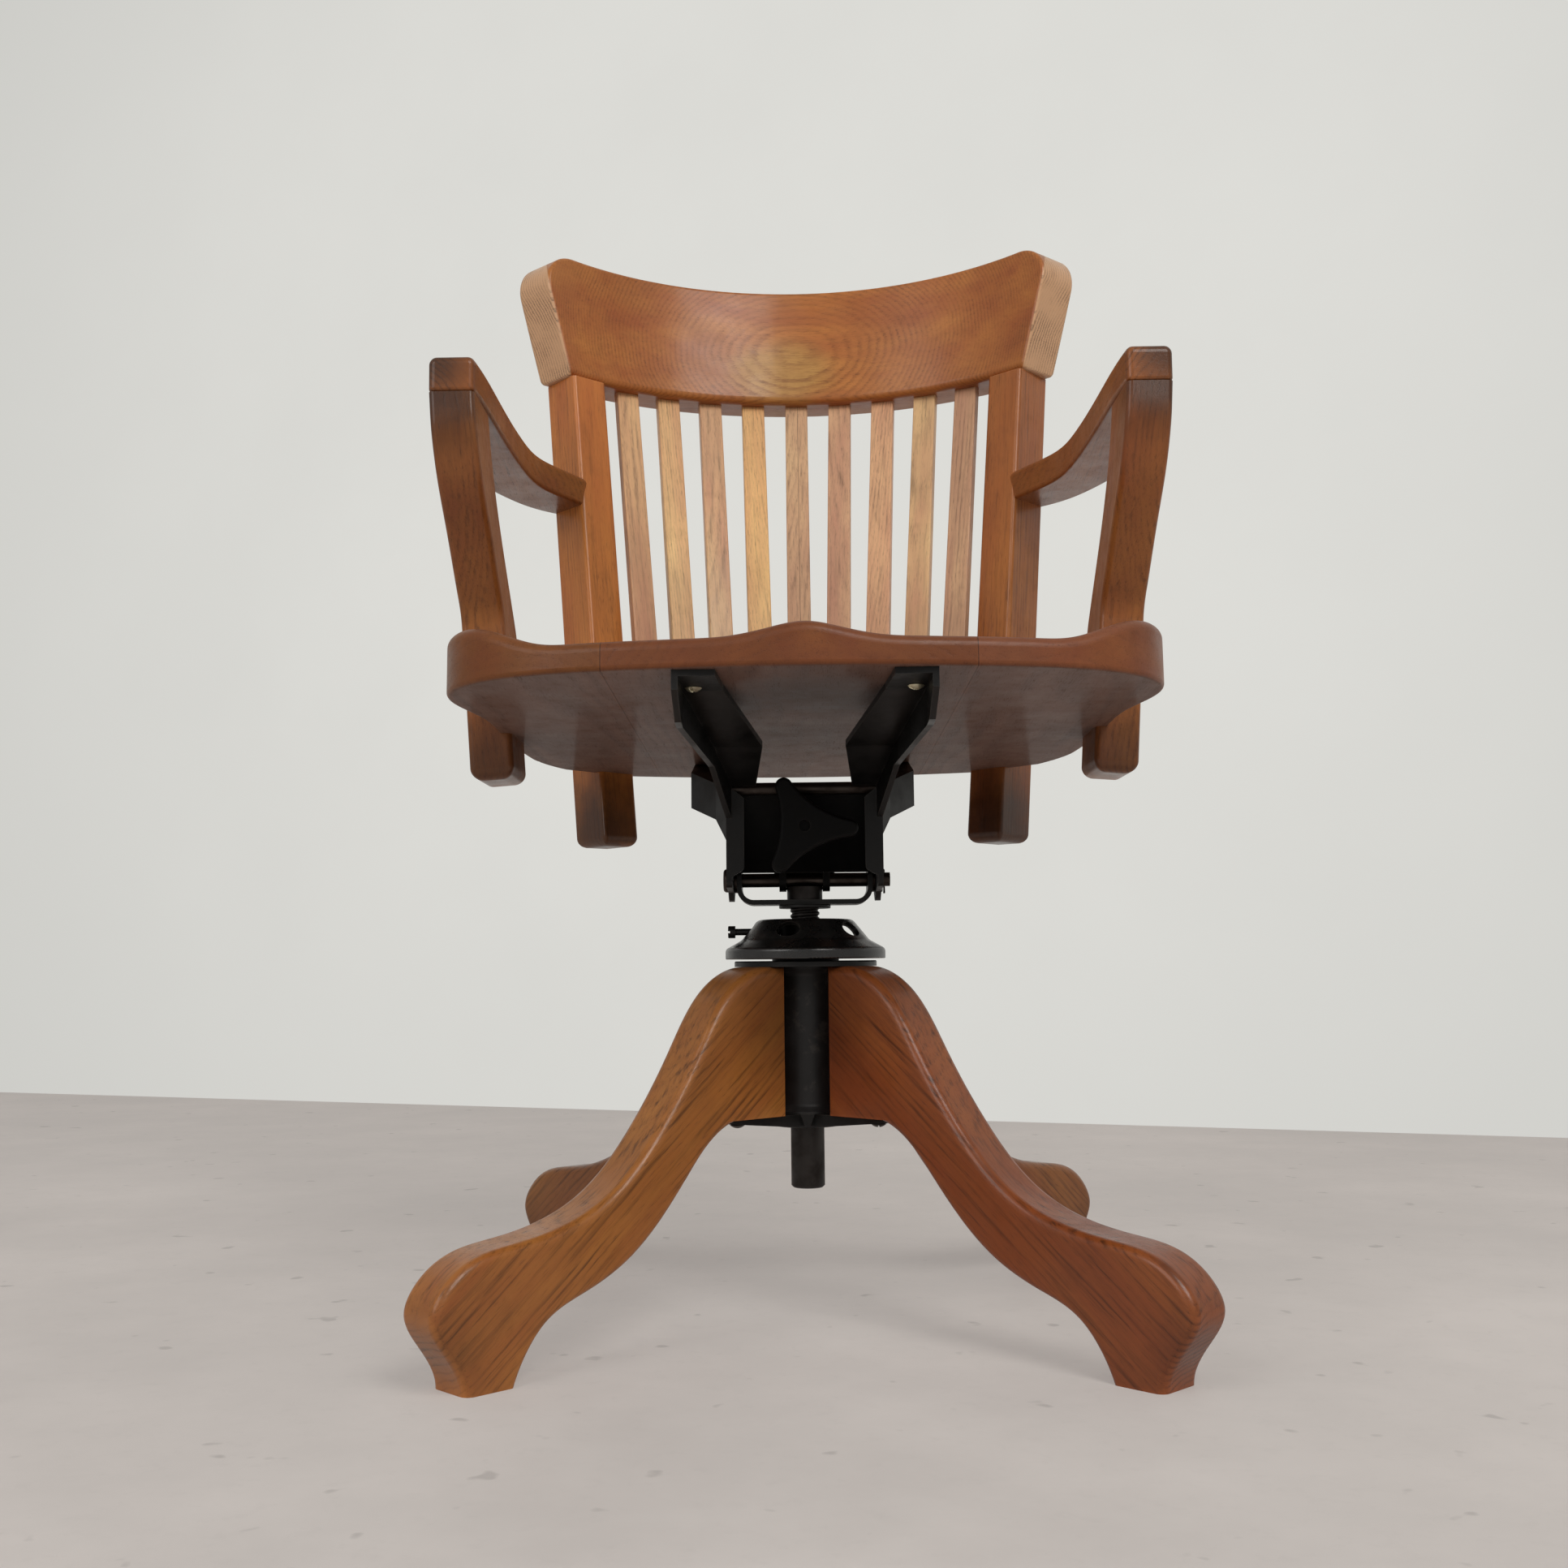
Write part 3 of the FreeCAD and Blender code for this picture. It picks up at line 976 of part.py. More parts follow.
def make_crest():
    """Curved crest rail with square-cut, flared ends and rounded ears."""
    wide = radians(66.0)
    outer = CREST_R + CREST_T
    drop = 10.0
    base_z = CREST_Z - drop
    centre = V(0, CREST_CENTRE_Y - BACK_LEAN * drop, base_z)

    def at(radius, angle):
        return centre + V(radius * sin(angle), radius * cos(angle), 0)
    ring = Part.Wire([Part.Arc(at(CREST_R, -wide), at(CREST_R, 0), at(CREST_R, wide)).toShape(),
                      Part.LineSegment(at(CREST_R, wide), at(outer, wide)).toShape(),
                      Part.Arc(at(outer, wide), at(outer, 0), at(outer, -wide)).toShape(),
                      Part.LineSegment(at(outer, -wide), at(CREST_R, -wide)).toShape()])
    rise = CREST_TOP_Z - base_z + 2.0 * drop
    rail = Part.Face(ring).extrude(V(0, BACK_LEAN * rise, rise))
    size = 4.0 * CREST_R
    rail = rail.cut(half_space(V(0, CREST_FRONT_Y, CREST_Z), V(0, 0, -1), size))
    rail = rail.cut(half_space(V(0, CREST_FRONT_Y, CREST_TOP_Z), V(0, 0, 1), size))
    low = V(CREST_HALF, CREST_FRONT_Y, CREST_Z)
    high = V(CREST_TOP_HALF, CREST_CENTRE_Y + BACK_LEAN * (CREST_TOP_Z - CREST_Z)
             + sqrt(CREST_R ** 2 - CREST_TOP_HALF ** 2), CREST_TOP_Z)
    theta = (asin(CREST_HALF / CREST_R) + asin(CREST_TOP_HALF / CREST_R)) / 2.0
    normal = (high - low).cross(V(sin(theta), cos(theta), 0))
    if normal.x < 0:
        normal = normal * -1.0
    rail = rail.cut(half_space(low, normal, size))
    rail = rail.cut(half_space(V(-low.x, low.y, low.z), V(-normal.x, normal.y, normal.z), size))
    ears = [e for e in edges_where(rail, lambda p: abs(p.z - CREST_TOP_Z) < 1e-4)
            if e.Length < CREST_T * 1.3 and abs(e.CenterOfMass.x) > CREST_HALF]
    rail = rail.makeFillet(CREST_EAR_R, ears)
    middle_z = (CREST_Z + CREST_TOP_Z) / 2.0
    for radius, upper in ((CREST_LOWER_EDGE_R, False), (CREST_EDGE_R, True)):
        rail = rail.makeFillet(radius, [e for e in rail.Edges if e.Length > CREST_R * 0.8
                                        and (e.CenterOfMass.z > middle_z) == upper])
    return rail


def slat_line(index):
    """Foot, head and turn of one slat, with index 0 for the middle one."""
    steps = (SLAT_COUNT - 1) / 2.0
    share = index / steps
    head_r = CREST_R + SLAT_HEAD_DEPTH
    top_angle = asin(SLAT_TOP_HALF / head_r) * share
    foot_angle = asin(SLAT_FOOT_HALF / SLAT_FOOT_R) * share
    head = V(head_r * sin(top_angle), CREST_CENTRE_Y + head_r * cos(top_angle), CREST_Z)
    foot_y = SEAT_REAR - SLAT_FOOT_SETBACK - SLAT_FOOT_R * (1.0 - cos(foot_angle))
    foot_z = seat_underside(foot_y) + SEAT_RIM
    foot = V(SLAT_FOOT_R * sin(foot_angle), foot_y, foot_z)
    return foot, head, (top_angle + foot_angle) / 2.0


def make_slat(index):
    """Flat slat from the seat's mortise to the crest rail's."""
    foot, head, turn = slat_line(index)
    run = head - foot
    unit = run * (1.0 / run.Length)
    across = V(cos(turn), -sin(turn), 0)
    across = across - unit * across.dot(unit)
    length = run.Length + 2.0 * SLAT_TENON
    slat = Part.makeBox(SLAT_W, SLAT_T, length, V(-SLAT_W / 2.0, -SLAT_T / 2.0, 0))
    slat = slat.makeFillet(SLAT_EDGE_R, [e for e in slat.Edges if e.BoundBox.ZLength > length * 0.9])
    turned_to = FreeCAD.Rotation(across, unit.cross(across), unit, "ZXY")
    slat.Placement = FreeCAD.Placement(foot - unit * SLAT_TENON, turned_to)
    return slat


def make_arm_post():
    """Arm post of the +X side: a board sawn to an S that sweeps forward, splayed outwards."""
    low = ARM_POST_FOOT_Z
    top = ARM_Z + 12.0
    front = ARM_POST_FRONT_Y
    sweep = ARM_POST_SWEEP
    depth = ARM_POST_DEPTH
    bend = SEAT_Z + SEAT_RIM + 48.0
    shoulder = ARM_Z - 40.0
    middle = (bend + shoulder) / 2.0
    x0 = ARM_POST_OUT - ARM_POST_W

    def at(y, z):
        return V(x0, y, z)
    leading = [at(front, bend - 8.0), at(front - 0.13 * sweep, bend + 14.0),
               at(front - 0.5 * sweep, middle), at(front - 0.88 * sweep, shoulder - 14.0),
               at(front - sweep, shoulder + 12.0), at(front - sweep, top)]
    trailing = [at(front - sweep + depth, top), at(front - sweep + depth + 4.0, shoulder + 6.0),
                at(front - 0.55 * sweep + depth, middle - 2.0),
                at(front - 0.1 * sweep + depth, bend + 2.0), at(front + depth, bend - 34.0)]
    foot_front = at(front, low)
    foot_rear = at(front + depth, low)
    outline = Part.Wire([Part.LineSegment(foot_front, leading[0]).toShape(),
                         upright_spline(leading, V(0, 0, 1)),
                         Part.LineSegment(leading[-1], trailing[0]).toShape(),
                         upright_spline(trailing, V(0, 0, -1)),
                         Part.LineSegment(trailing[-1], foot_rear).toShape(),
                         Part.LineSegment(foot_rear, foot_front).toShape()])
    post = Part.Face(outline).extrude(V(ARM_POST_W, 0, 0))
    foot_edges = edges_where(post, lambda p: abs(p.z - low) < 1e-4)
    post = post.makeFillet(ARM_POST_FOOT_R, foot_edges)
    long_edges = [e for e in post.Edges
                  if e.BoundBox.ZLength > 60.0 and e.BoundBox.XLength < 1e-3
                  and e.BoundBox.ZMin > low + 5.0]
    post = post.makeFillet(ARM_POST_EDGE_R, long_edges)
    post.rotate(V(ARM_POST_OUT, 0, SEAT_Z), V(0, 1, 0), ARM_POST_SPLAY)
    return post.cut(half_space(V(ARM_POST_OUT, ARM_FRONT_Y, ARM_Z), V(0, -ARM_TAN, 1), 600.0))


def make_arm():
    """Paddle-shaped arm board of the +X side."""
    front = ARM_FRONT_Y
    out = ARM_OUT
    inside = out - ARM_POST_W
    corner_x, corner_y = back_post_corner(arm_underside(BACK_POST_Y) + ARM_T / 2.0)
    rear_x = corner_x + BACK_POST_B * sin(PHI)
    rear_y = corner_y + BACK_POST_B * cos(PHI)
    sink = 9.0
    inner_end = V(corner_x - sink * cos(PHI) + 2.0, corner_y + sink * sin(PHI) + 2.0, ARM_Z)
    outer_end = V(rear_x - sink * cos(PHI), rear_y + sink * sin(PHI) - 3.0, ARM_Z)

    def at(x, y):
        return V(x, y, ARM_Z)
    outer = [at(out, front), at(out + 4.0, front + 60.0), at(out + 9.0, front + 140.0),
             at(out + 10.0, corner_y - 75.0), at(out - 4.0, corner_y - 26.0),
             at(rear_x + 19.0, rear_y - 26.0), outer_end]
    inner = [inner_end, at(corner_x + 6.0, corner_y - 15.0), at(inside - 12.0, corner_y - 54.0),
             at(inside - 4.0, corner_y - 108.0), at(inside - 2.0, front + 80.0), at(inside, front)]
    outline = Part.Wire([spline(outer), Part.LineSegment(outer_end, inner_end).toShape(),
                         spline(inner), Part.LineSegment(inner[-1], outer[0]).toShape()])
    board = Part.Face(outline).extrude(V(0, 0, ARM_T))
    corners = [e for e in board.Edges if e.BoundBox.ZLength > ARM_T * 0.9 and e.BoundBox.YMin < front + 1.0]
    board = board.makeFillet(ARM_CORNER_R, corners)
    for height, radius in ((ARM_Z + ARM_T, ARM_TOP_EDGE_R), (ARM_Z, ARM_LOWER_EDGE_R)):
        rim = [e for e in edges_where(board, lambda p: abs(p.z - height) < 1e-4)
               if not e.BoundBox.YMin > corner_y - 2.0]
        board = board.makeFillet(radius, rim)
    board.rotate(V(0, ARM_FRONT_Y, ARM_Z), V(1, 0, 0), ARM_SLOPE)
    return board


def make_dowels():
    """Dowels between arm post and arm, and between arm and back post, of the +X side."""
    x = ARM_OUT - ARM_POST_W / 2.0
    y = ARM_FRONT_Y + ARM_POST_DEPTH / 2.0
    joint = arm_underside(y)
    upright = rod(V(x, y, joint - DOWEL_L * 0.55), V(x, y, joint + DOWEL_L * 0.45), DOWEL_R)
    z = arm_underside(BACK_POST_Y) + ARM_T / 2.0
    corner_x, corner_y = back_post_corner(z)
    middle = V(corner_x + BACK_POST_B / 2.0 * sin(PHI), corner_y + BACK_POST_B / 2.0 * cos(PHI), z)
    outward = V(cos(PHI), -sin(PHI), 0)
    level = rod(middle - outward * (DOWEL_L * 0.5), middle + outward * (DOWEL_L * 0.5), DOWEL_R)
    return [upright, level]


def make_post_screws():
    """Screws through the posts into the seat's edge, of the +X side."""
    screws = []
    z = SEAT_Z + SEAT_RIM * 0.5
    lean_out = tan(radians(ARM_POST_SPLAY)) * (z - SEAT_Z)
    for y in (ARM_POST_FRONT_Y + ARM_POST_DEPTH * 0.28, ARM_POST_FRONT_Y + ARM_POST_DEPTH * 0.72):
        screws.append(screw(V(ARM_POST_OUT + lean_out - 0.2, y, z), V(-1, 0, 0), 62.0))
    corner_x, corner_y = back_post_corner(z)
    back_face = V(corner_x + BACK_POST_B * sin(PHI) - BACK_POST_A / 2.0 * cos(PHI),
                  corner_y + BACK_POST_B * cos(PHI) + BACK_POST_A / 2.0 * sin(PHI), z)
    inward = V(-sin(PHI), -cos(PHI), 0)
    screws.append(screw(back_face + inward * 0.2, inward, 70.0))
    return screws


def make_oak():
    """Seat boards, posts, arms, slats and crest rail, jointed into each other."""
    steps = SLAT_COUNT // 2
    slats = [make_slat(i) for i in range(-steps, steps + 1)]
    back_right = make_back_post()
    back_left = mirrored(back_right)
    arm_right = make_arm().cut(back_right)
    post_right = make_arm_post()
    dowels = make_dowels()
    dowels += [mirrored(d) for d in dowels]
    screws = make_post_screws()
    screws += [mirrored(s) for s in screws]
    pins = Part.makeCompound(dowels + screws)
    seat = make_seat_blank()
    for piece in slats + [back_right, back_left, post_right, mirrored(post_right)] + screws:
        seat = seat.cut(piece)
    crest = make_crest().cut(Part.makeCompound([back_right, back_left] + slats))
    pieces = {}
    bounds = (-SEAT_HALF - 50.0,) + BOARD_JOINTS + (SEAT_HALF + 50.0,)
    for name, left, right in zip(("seat_board_left", "seat_board_middle", "seat_board_right"),
                                 bounds[:-1], bounds[1:]):
        block = Part.makeBox(right - left, 900.0, 200.0, V(left, -450.0, SEAT_Z - 60.0))
        pieces[name] = seat.common(block)
    pieces["back_post_right"] = back_right.cut(pins)
    pieces["back_post_left"] = back_left.cut(pins)
    pieces["arm_right"] = arm_right.cut(pins)
    pieces["arm_left"] = mirrored(arm_right).cut(pins)
    pieces["arm_post_right"] = post_right.cut(pins)
    pieces["arm_post_left"] = mirrored(post_right).cut(pins)
    pieces["arm_dowels"] = Part.makeCompound(dowels)
    pieces["post_screws"] = Part.makeCompound(screws)
    pieces["crest_rail"] = crest
    for number, slat in enumerate(slats, 1):
        pieces["slat_" + str(number)] = slat
    return pieces


def main():
    """Make every piece, fit the bracket screws' holes in the seat and write the files."""
    pieces = {}
    pieces.update(make_base())
    pieces.update(make_adjuster())
    pieces.update(make_yoke())
    pieces.update(make_tilt_iron())
    pieces.update(make_oak())
    for name in ("seat_board_left", "seat_board_middle", "seat_board_right"):
        pieces[name] = pieces[name].cut(pieces["bracket_screws"])
    os.makedirs("parts", exist_ok=True)
    for name in sorted(pieces):
        shape = pieces[name]
        placed = shape.copy()
        placed.translate(V(0, -SPINDLE_SETBACK, 0))
        print(name, len(placed.Solids), "solid(s)", round(placed.Volume / 1000.0, 2), "cm3",
              "" if placed.isValid() else "NOT VALID")
        placed.exportStep("parts/" + name + ".step")


main()
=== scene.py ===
"""Dresses the oak bankers swivel chair: wood, iron and steel finishes, fittings and the stage.

Lengths are in metres unless a name says otherwise. The chair faces -Y and +X is to the right of
someone who looks at its front. The upright spindle stands at SPINDLE_Y behind the origin.
"""
from math import asin, cos, pi, radians, sin, sqrt

import bmesh
import bpy
from bpy.props import FloatProperty, FloatVectorProperty, PointerProperty
from mathutils import Matrix, Vector


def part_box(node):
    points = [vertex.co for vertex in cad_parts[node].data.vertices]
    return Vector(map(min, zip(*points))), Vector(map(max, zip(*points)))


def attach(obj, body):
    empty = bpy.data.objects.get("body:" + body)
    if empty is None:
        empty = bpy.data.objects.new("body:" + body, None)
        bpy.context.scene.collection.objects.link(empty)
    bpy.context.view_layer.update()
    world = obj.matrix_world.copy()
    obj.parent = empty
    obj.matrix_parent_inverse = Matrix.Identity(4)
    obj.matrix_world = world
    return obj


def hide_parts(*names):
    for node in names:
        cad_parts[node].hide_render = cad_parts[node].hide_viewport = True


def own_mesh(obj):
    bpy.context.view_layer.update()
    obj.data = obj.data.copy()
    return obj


bl_info = {
    "name": "Bankers Swivel Chair",
    "version": (1, 0, 0),
    "blender": (4, 5, 0),
    "location": "View3D > Sidebar > Chair",
    "description": "Dresses an oak bankers swivel chair and sets its stage",
    "category": "Object",
}

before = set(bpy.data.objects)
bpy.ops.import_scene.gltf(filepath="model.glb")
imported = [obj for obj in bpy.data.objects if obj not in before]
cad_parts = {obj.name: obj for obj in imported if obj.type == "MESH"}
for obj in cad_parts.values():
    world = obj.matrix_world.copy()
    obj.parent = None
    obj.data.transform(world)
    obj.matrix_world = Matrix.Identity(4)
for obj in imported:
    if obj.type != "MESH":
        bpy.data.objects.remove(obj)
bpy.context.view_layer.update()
MM = 0.001
SPINDLE_Y = -0.069

SLATS = [f"slat_{number}" for number in range(1, 10)]
LEGS = {"leg_front_left": 225, "leg_front_right": 315, "leg_rear_right": 45, "leg_rear_left": 135}
BLACK_IRON = ("hub_flange", "hub_cross", "thrust_washer", "adjuster_nut", "set_screw",
              "spindle_collar", "yoke_strap", "side_bracket_left", "side_bracket_right")
DARKER_IRON = ("tension_knob", "pressure_plate", "spring_post", "tension_bolt")
RODS = ("pivot_rod", "pivot_washers", "cross_rod", "bolt_washer", "cross_screws", "flange_screws")
BRIGHT_SCREWS = ("bracket_screws", "post_screws")

# Colours that no setting changes
# colour of dark spots: real marks, and painted shade where other parts shade a piece
STAIN_AND_SHADE = (0.022, 0.010, 0.006)
# painted highlight: pale line along the sharp corners of the crest rail and back posts
CORNER_HIGHLIGHT = (0.52, 0.31, 0.17)
# bare underside of the seat; its greyish pink is partly a painted reflection of the pale floor
SEAT_UNDERSIDE = (0.145, 0.072, 0.050)
CREST_END_GRAIN = (0.62, 0.37, 0.21)
CREST_HEART = (0.46, 0.25, 0.066)

# The seat's underside in millimetres: its height above the spindle, and its fall to the back
SEAT_FOOT_Z = 411.5
SEAT_FALL = 0.0232

# Spindle, and the pivot rod through its head
SLEEVE_R = 11.9 * MM
SLEEVE_TOP = 156.0 * MM
SCREW_R = 10.5 * MM
SCREW_TOP = 289.5 * MM
PIVOT_Z = 304.0 * MM
PIVOT_R = 5.0 * MM
CHAMFER = 1.5 * MM
RUN_OUT = 2.0 * MM              # the thread fades out over this length at both ends
THREAD_ROOT = 0.14              # half width of the thread's root, as a share of the pitch
THREAD_FLANK = 0.16             # width of a flank, as a share of the pitch

# Tension spring
WIRE_R = 2.0 * MM
END_TURNS = 0.75                # closer turns at each end
END_PITCH = 4.7 * MM
BODY_TURNS = 3.0

# Slotted heads: places in millimetres from the spindle
BRACKET_SCREWS_AT = ((68, -196), (74, 166), (74, 188))
CROSS_SCREWS_AT = 68

# Split pin
PIN_WIRE_R = 0.62 * MM
PIN_LEG_OFF = 0.65 * MM         # middle of the pin to each leg
PIN_SPREAD = 1.6 * MM           # the legs are bent out by this much
PIN_BEND_FROM = 0.72            # share of a leg that stays straight

# Stage in metres: the wall's foot seen from above, floor, and lamps as
# (name, place, size, power, colour)
WALL_FOOT = ((-4.4, 3.18), (4.4, -0.33))
WALL_HEIGHT = 5.0
# middle of a painted pool of light on the wall
WALL_BRIGHT_AT = (0.0, 1.45, 1.3)
FLOOR_REACH = 9.0
SKIRT = 0.02
LAMPS = (("key", (1.2, -2.3, 2.6), 1.7, 48.0, (1.0, 0.98, 0.95)),
         ("fill", (-1.9, -2.1, 1.9), 2.0, 26.0, (1.0, 0.99, 0.97)))
LAMP_TARGET = (0.0, 0.0, 0.45)
ROOM_COLOR = (1.0, 0.985, 0.96, 1.0)

# Camera: place in millimetres from the spindle, turns in degrees, lens in pixels of the view
EYE = (-8.65, -1172.37, 243.75)
YAW, PITCH, ROLL = -1.016, 6.349, -0.5435
VIEW_WIDTH = 1932.0
FOCAL_LENGTH = 1997.0
VIEW_MIDDLE = 940.0
SENSOR_WIDTH = 36.0


def at(x, y, z):
    """Point given in millimetres from the spindle's foot on the floor."""
    return Vector((x * MM, y * MM + SPINDLE_Y, z * MM))


# Shading helpers

class Shade:
    """Builds one material's nodes, so that each finish reads as a few lines."""

    def __init__(self, name):
        self.material = bpy.data.materials.new(name)
        self.material.use_nodes = True
        self.tree = self.material.node_tree
        self.surface = self.tree.nodes["Principled BSDF"]
        self.place = self.add("ShaderNodeTexCoord").outputs["Object"]

    def add(self, kind, **settings):
        node = self.tree.nodes.new(kind)
        for key, value in settings.items():
            setattr(node, key, value)
        return node

    def feed(self, socket, value):
        """Links value to a socket if it is another socket, and writes it there if it is a number.

        None leaves the socket as it is.
        """
        if isinstance(value, bpy.types.NodeSocket):
            self.tree.links.new(value, socket)
        elif value is not None:
            socket.default_value = value

    def math(self, operation, a, b=None, c=None, clamp=False):
        node = self.add("ShaderNodeMath", operation=operation, use_clamp=clamp)
        for socket, value in zip(node.inputs, (a, b, c)):
            self.feed(socket, value)
        return node.outputs[0]

    def times(self, a, b):
        return self.math("MULTIPLY", a, b)

    def plus(self, a, b):
        return self.math("ADD", a, b)

    def vector(self, operation, a, b=None):
        node = self.add("ShaderNodeVectorMath", operation=operation)
        self.feed(node.inputs[0], a)
        self.feed(node.inputs[1], b)
        return node.outputs["Value" if operation in ("LENGTH", "DOT_PRODUCT", "DISTANCE") else 0]

    def split(self, vector):
        node = self.add("ShaderNodeSeparateXYZ")
        self.feed(node.inputs[0], vector)
        return node.outputs

    def join(self, x, y, z):
        node = self.add("ShaderNodeCombineXYZ")
        for socket, value in zip(node.inputs, (x, y, z)):
            self.feed(socket, value)
        return node.outputs[0]

    def turn(self, vector, matrix, origin):
        """Coordinates of a point along the rows of matrix, measured from origin."""
        node = self.add("ShaderNodeMapping", vector_type="POINT")
        self.feed(node.inputs["Vector"], vector)
        node.inputs["Rotation"].default_value = matrix.to_euler()
        node.inputs["Location"].default_value = -(matrix @ Vector(origin))
        return node.outputs[0]

    def stretch(self, vector, scale):
        return self.vector("MULTIPLY", vector, scale)

    def noise(self, vector, scale, detail=3.0, roughness=0.55, distortion=0.0):
        node = self.add("ShaderNodeTexNoise")
        self.feed(node.inputs["Vector"], vector)
        for key, value in (("Scale", scale), ("Detail", detail), ("Roughness", roughness),
                           ("Distortion", distortion)):
            self.feed(node.inputs[key], value)
        return node.outputs["Fac"]

    def span(self, value, low, high, start=0.0, end=1.0, smooth=False):
        """Stretches value from low..high to start..end, clamped."""
        node = self.add("ShaderNodeMapRange", clamp=True)
        if smooth:
            node.interpolation_type = "SMOOTHSTEP"
        for socket, number in zip(node.inputs, (value, low, high, start, end)):
            self.feed(socket, number)
        return node.outputs[0]

    def blend(self, factor, a, b, mode="MIX"):
        node = self.add("ShaderNodeMix", data_type="RGBA", blend_type=mode)
        self.feed(node.inputs["Factor"], factor)
        for socket, value in zip((node.inputs[6], node.inputs[7]), (a, b)):
            self.feed(socket, (*value, 1.0) if isinstance(value, (tuple, list)) else value)
        return node.outputs[2]

    def bevel_edge_mask(self, radius, sharpness=1.0):
        """1 on edges and 0 on flat faces, from the difference to a bevelled normal."""
        bevel = self.add("ShaderNodeBevel", samples=6)
        bevel.inputs["Radius"].default_value = radius
        plain = self.add("ShaderNodeNewGeometry").outputs["Normal"]
        return self.span(self.vector("DOT_PRODUCT", bevel.outputs[0], plain),
                         1.0, 1.0 - 0.12 * sharpness)

    def relief(self, height, distance, strength=1.0):
        node = self.add("ShaderNodeBump")
        node.inputs["Strength"].default_value = strength
        node.inputs["Distance"].default_value = distance
        self.feed(node.inputs["Height"], height)
        self.feed(self.surface.inputs["Normal"], node.outputs[0])

    def show_plain(self, color, share=1.0):
        """Lets the camera and mirror-like faces see a share of color whatever light falls on it."""
        rays = self.add("ShaderNodeLightPath").outputs
        seen = self.math("MAXIMUM", rays["Is Camera Ray"], rays["Is Glossy Ray"])
        seen = self.math("MULTIPLY", seen, share)
        glow = self.add("ShaderNodeEmission")
        self.feed(glow.inputs["Color"], color)
        mix = self.add("ShaderNodeMixShader")
        for socket, value in zip(mix.inputs, (seen, self.surface.outputs[0], glow.outputs[0])):
            self.feed(socket, value)
        self.feed(self.tree.nodes["Material Output"].inputs["Surface"], mix.outputs[0])

    def finish(self, color, roughness, **plain):
        self.feed(self.surface.inputs["Base Color"], color)
        self.feed(self.surface.inputs["Roughness"], roughness)
        for key, value in plain.items():
            self.surface.inputs[key.replace("_", " ")].default_value = value
        return self.material


def grain_axes(along, outward):
    """Rows (across, outward, along) of a turn into the grain's own directions."""
    w = Vector(along).normalized()
    v = Vector(outward) - w * Vector(outward).dot(w)
    v.normalize()
    return Matrix((v.cross(w), v, w))


def tone(color, factor):
    return tuple(channel * factor for channel in color)


def tinted(color, shares):
    return tuple(channel * share for channel, share in zip(color, shares))


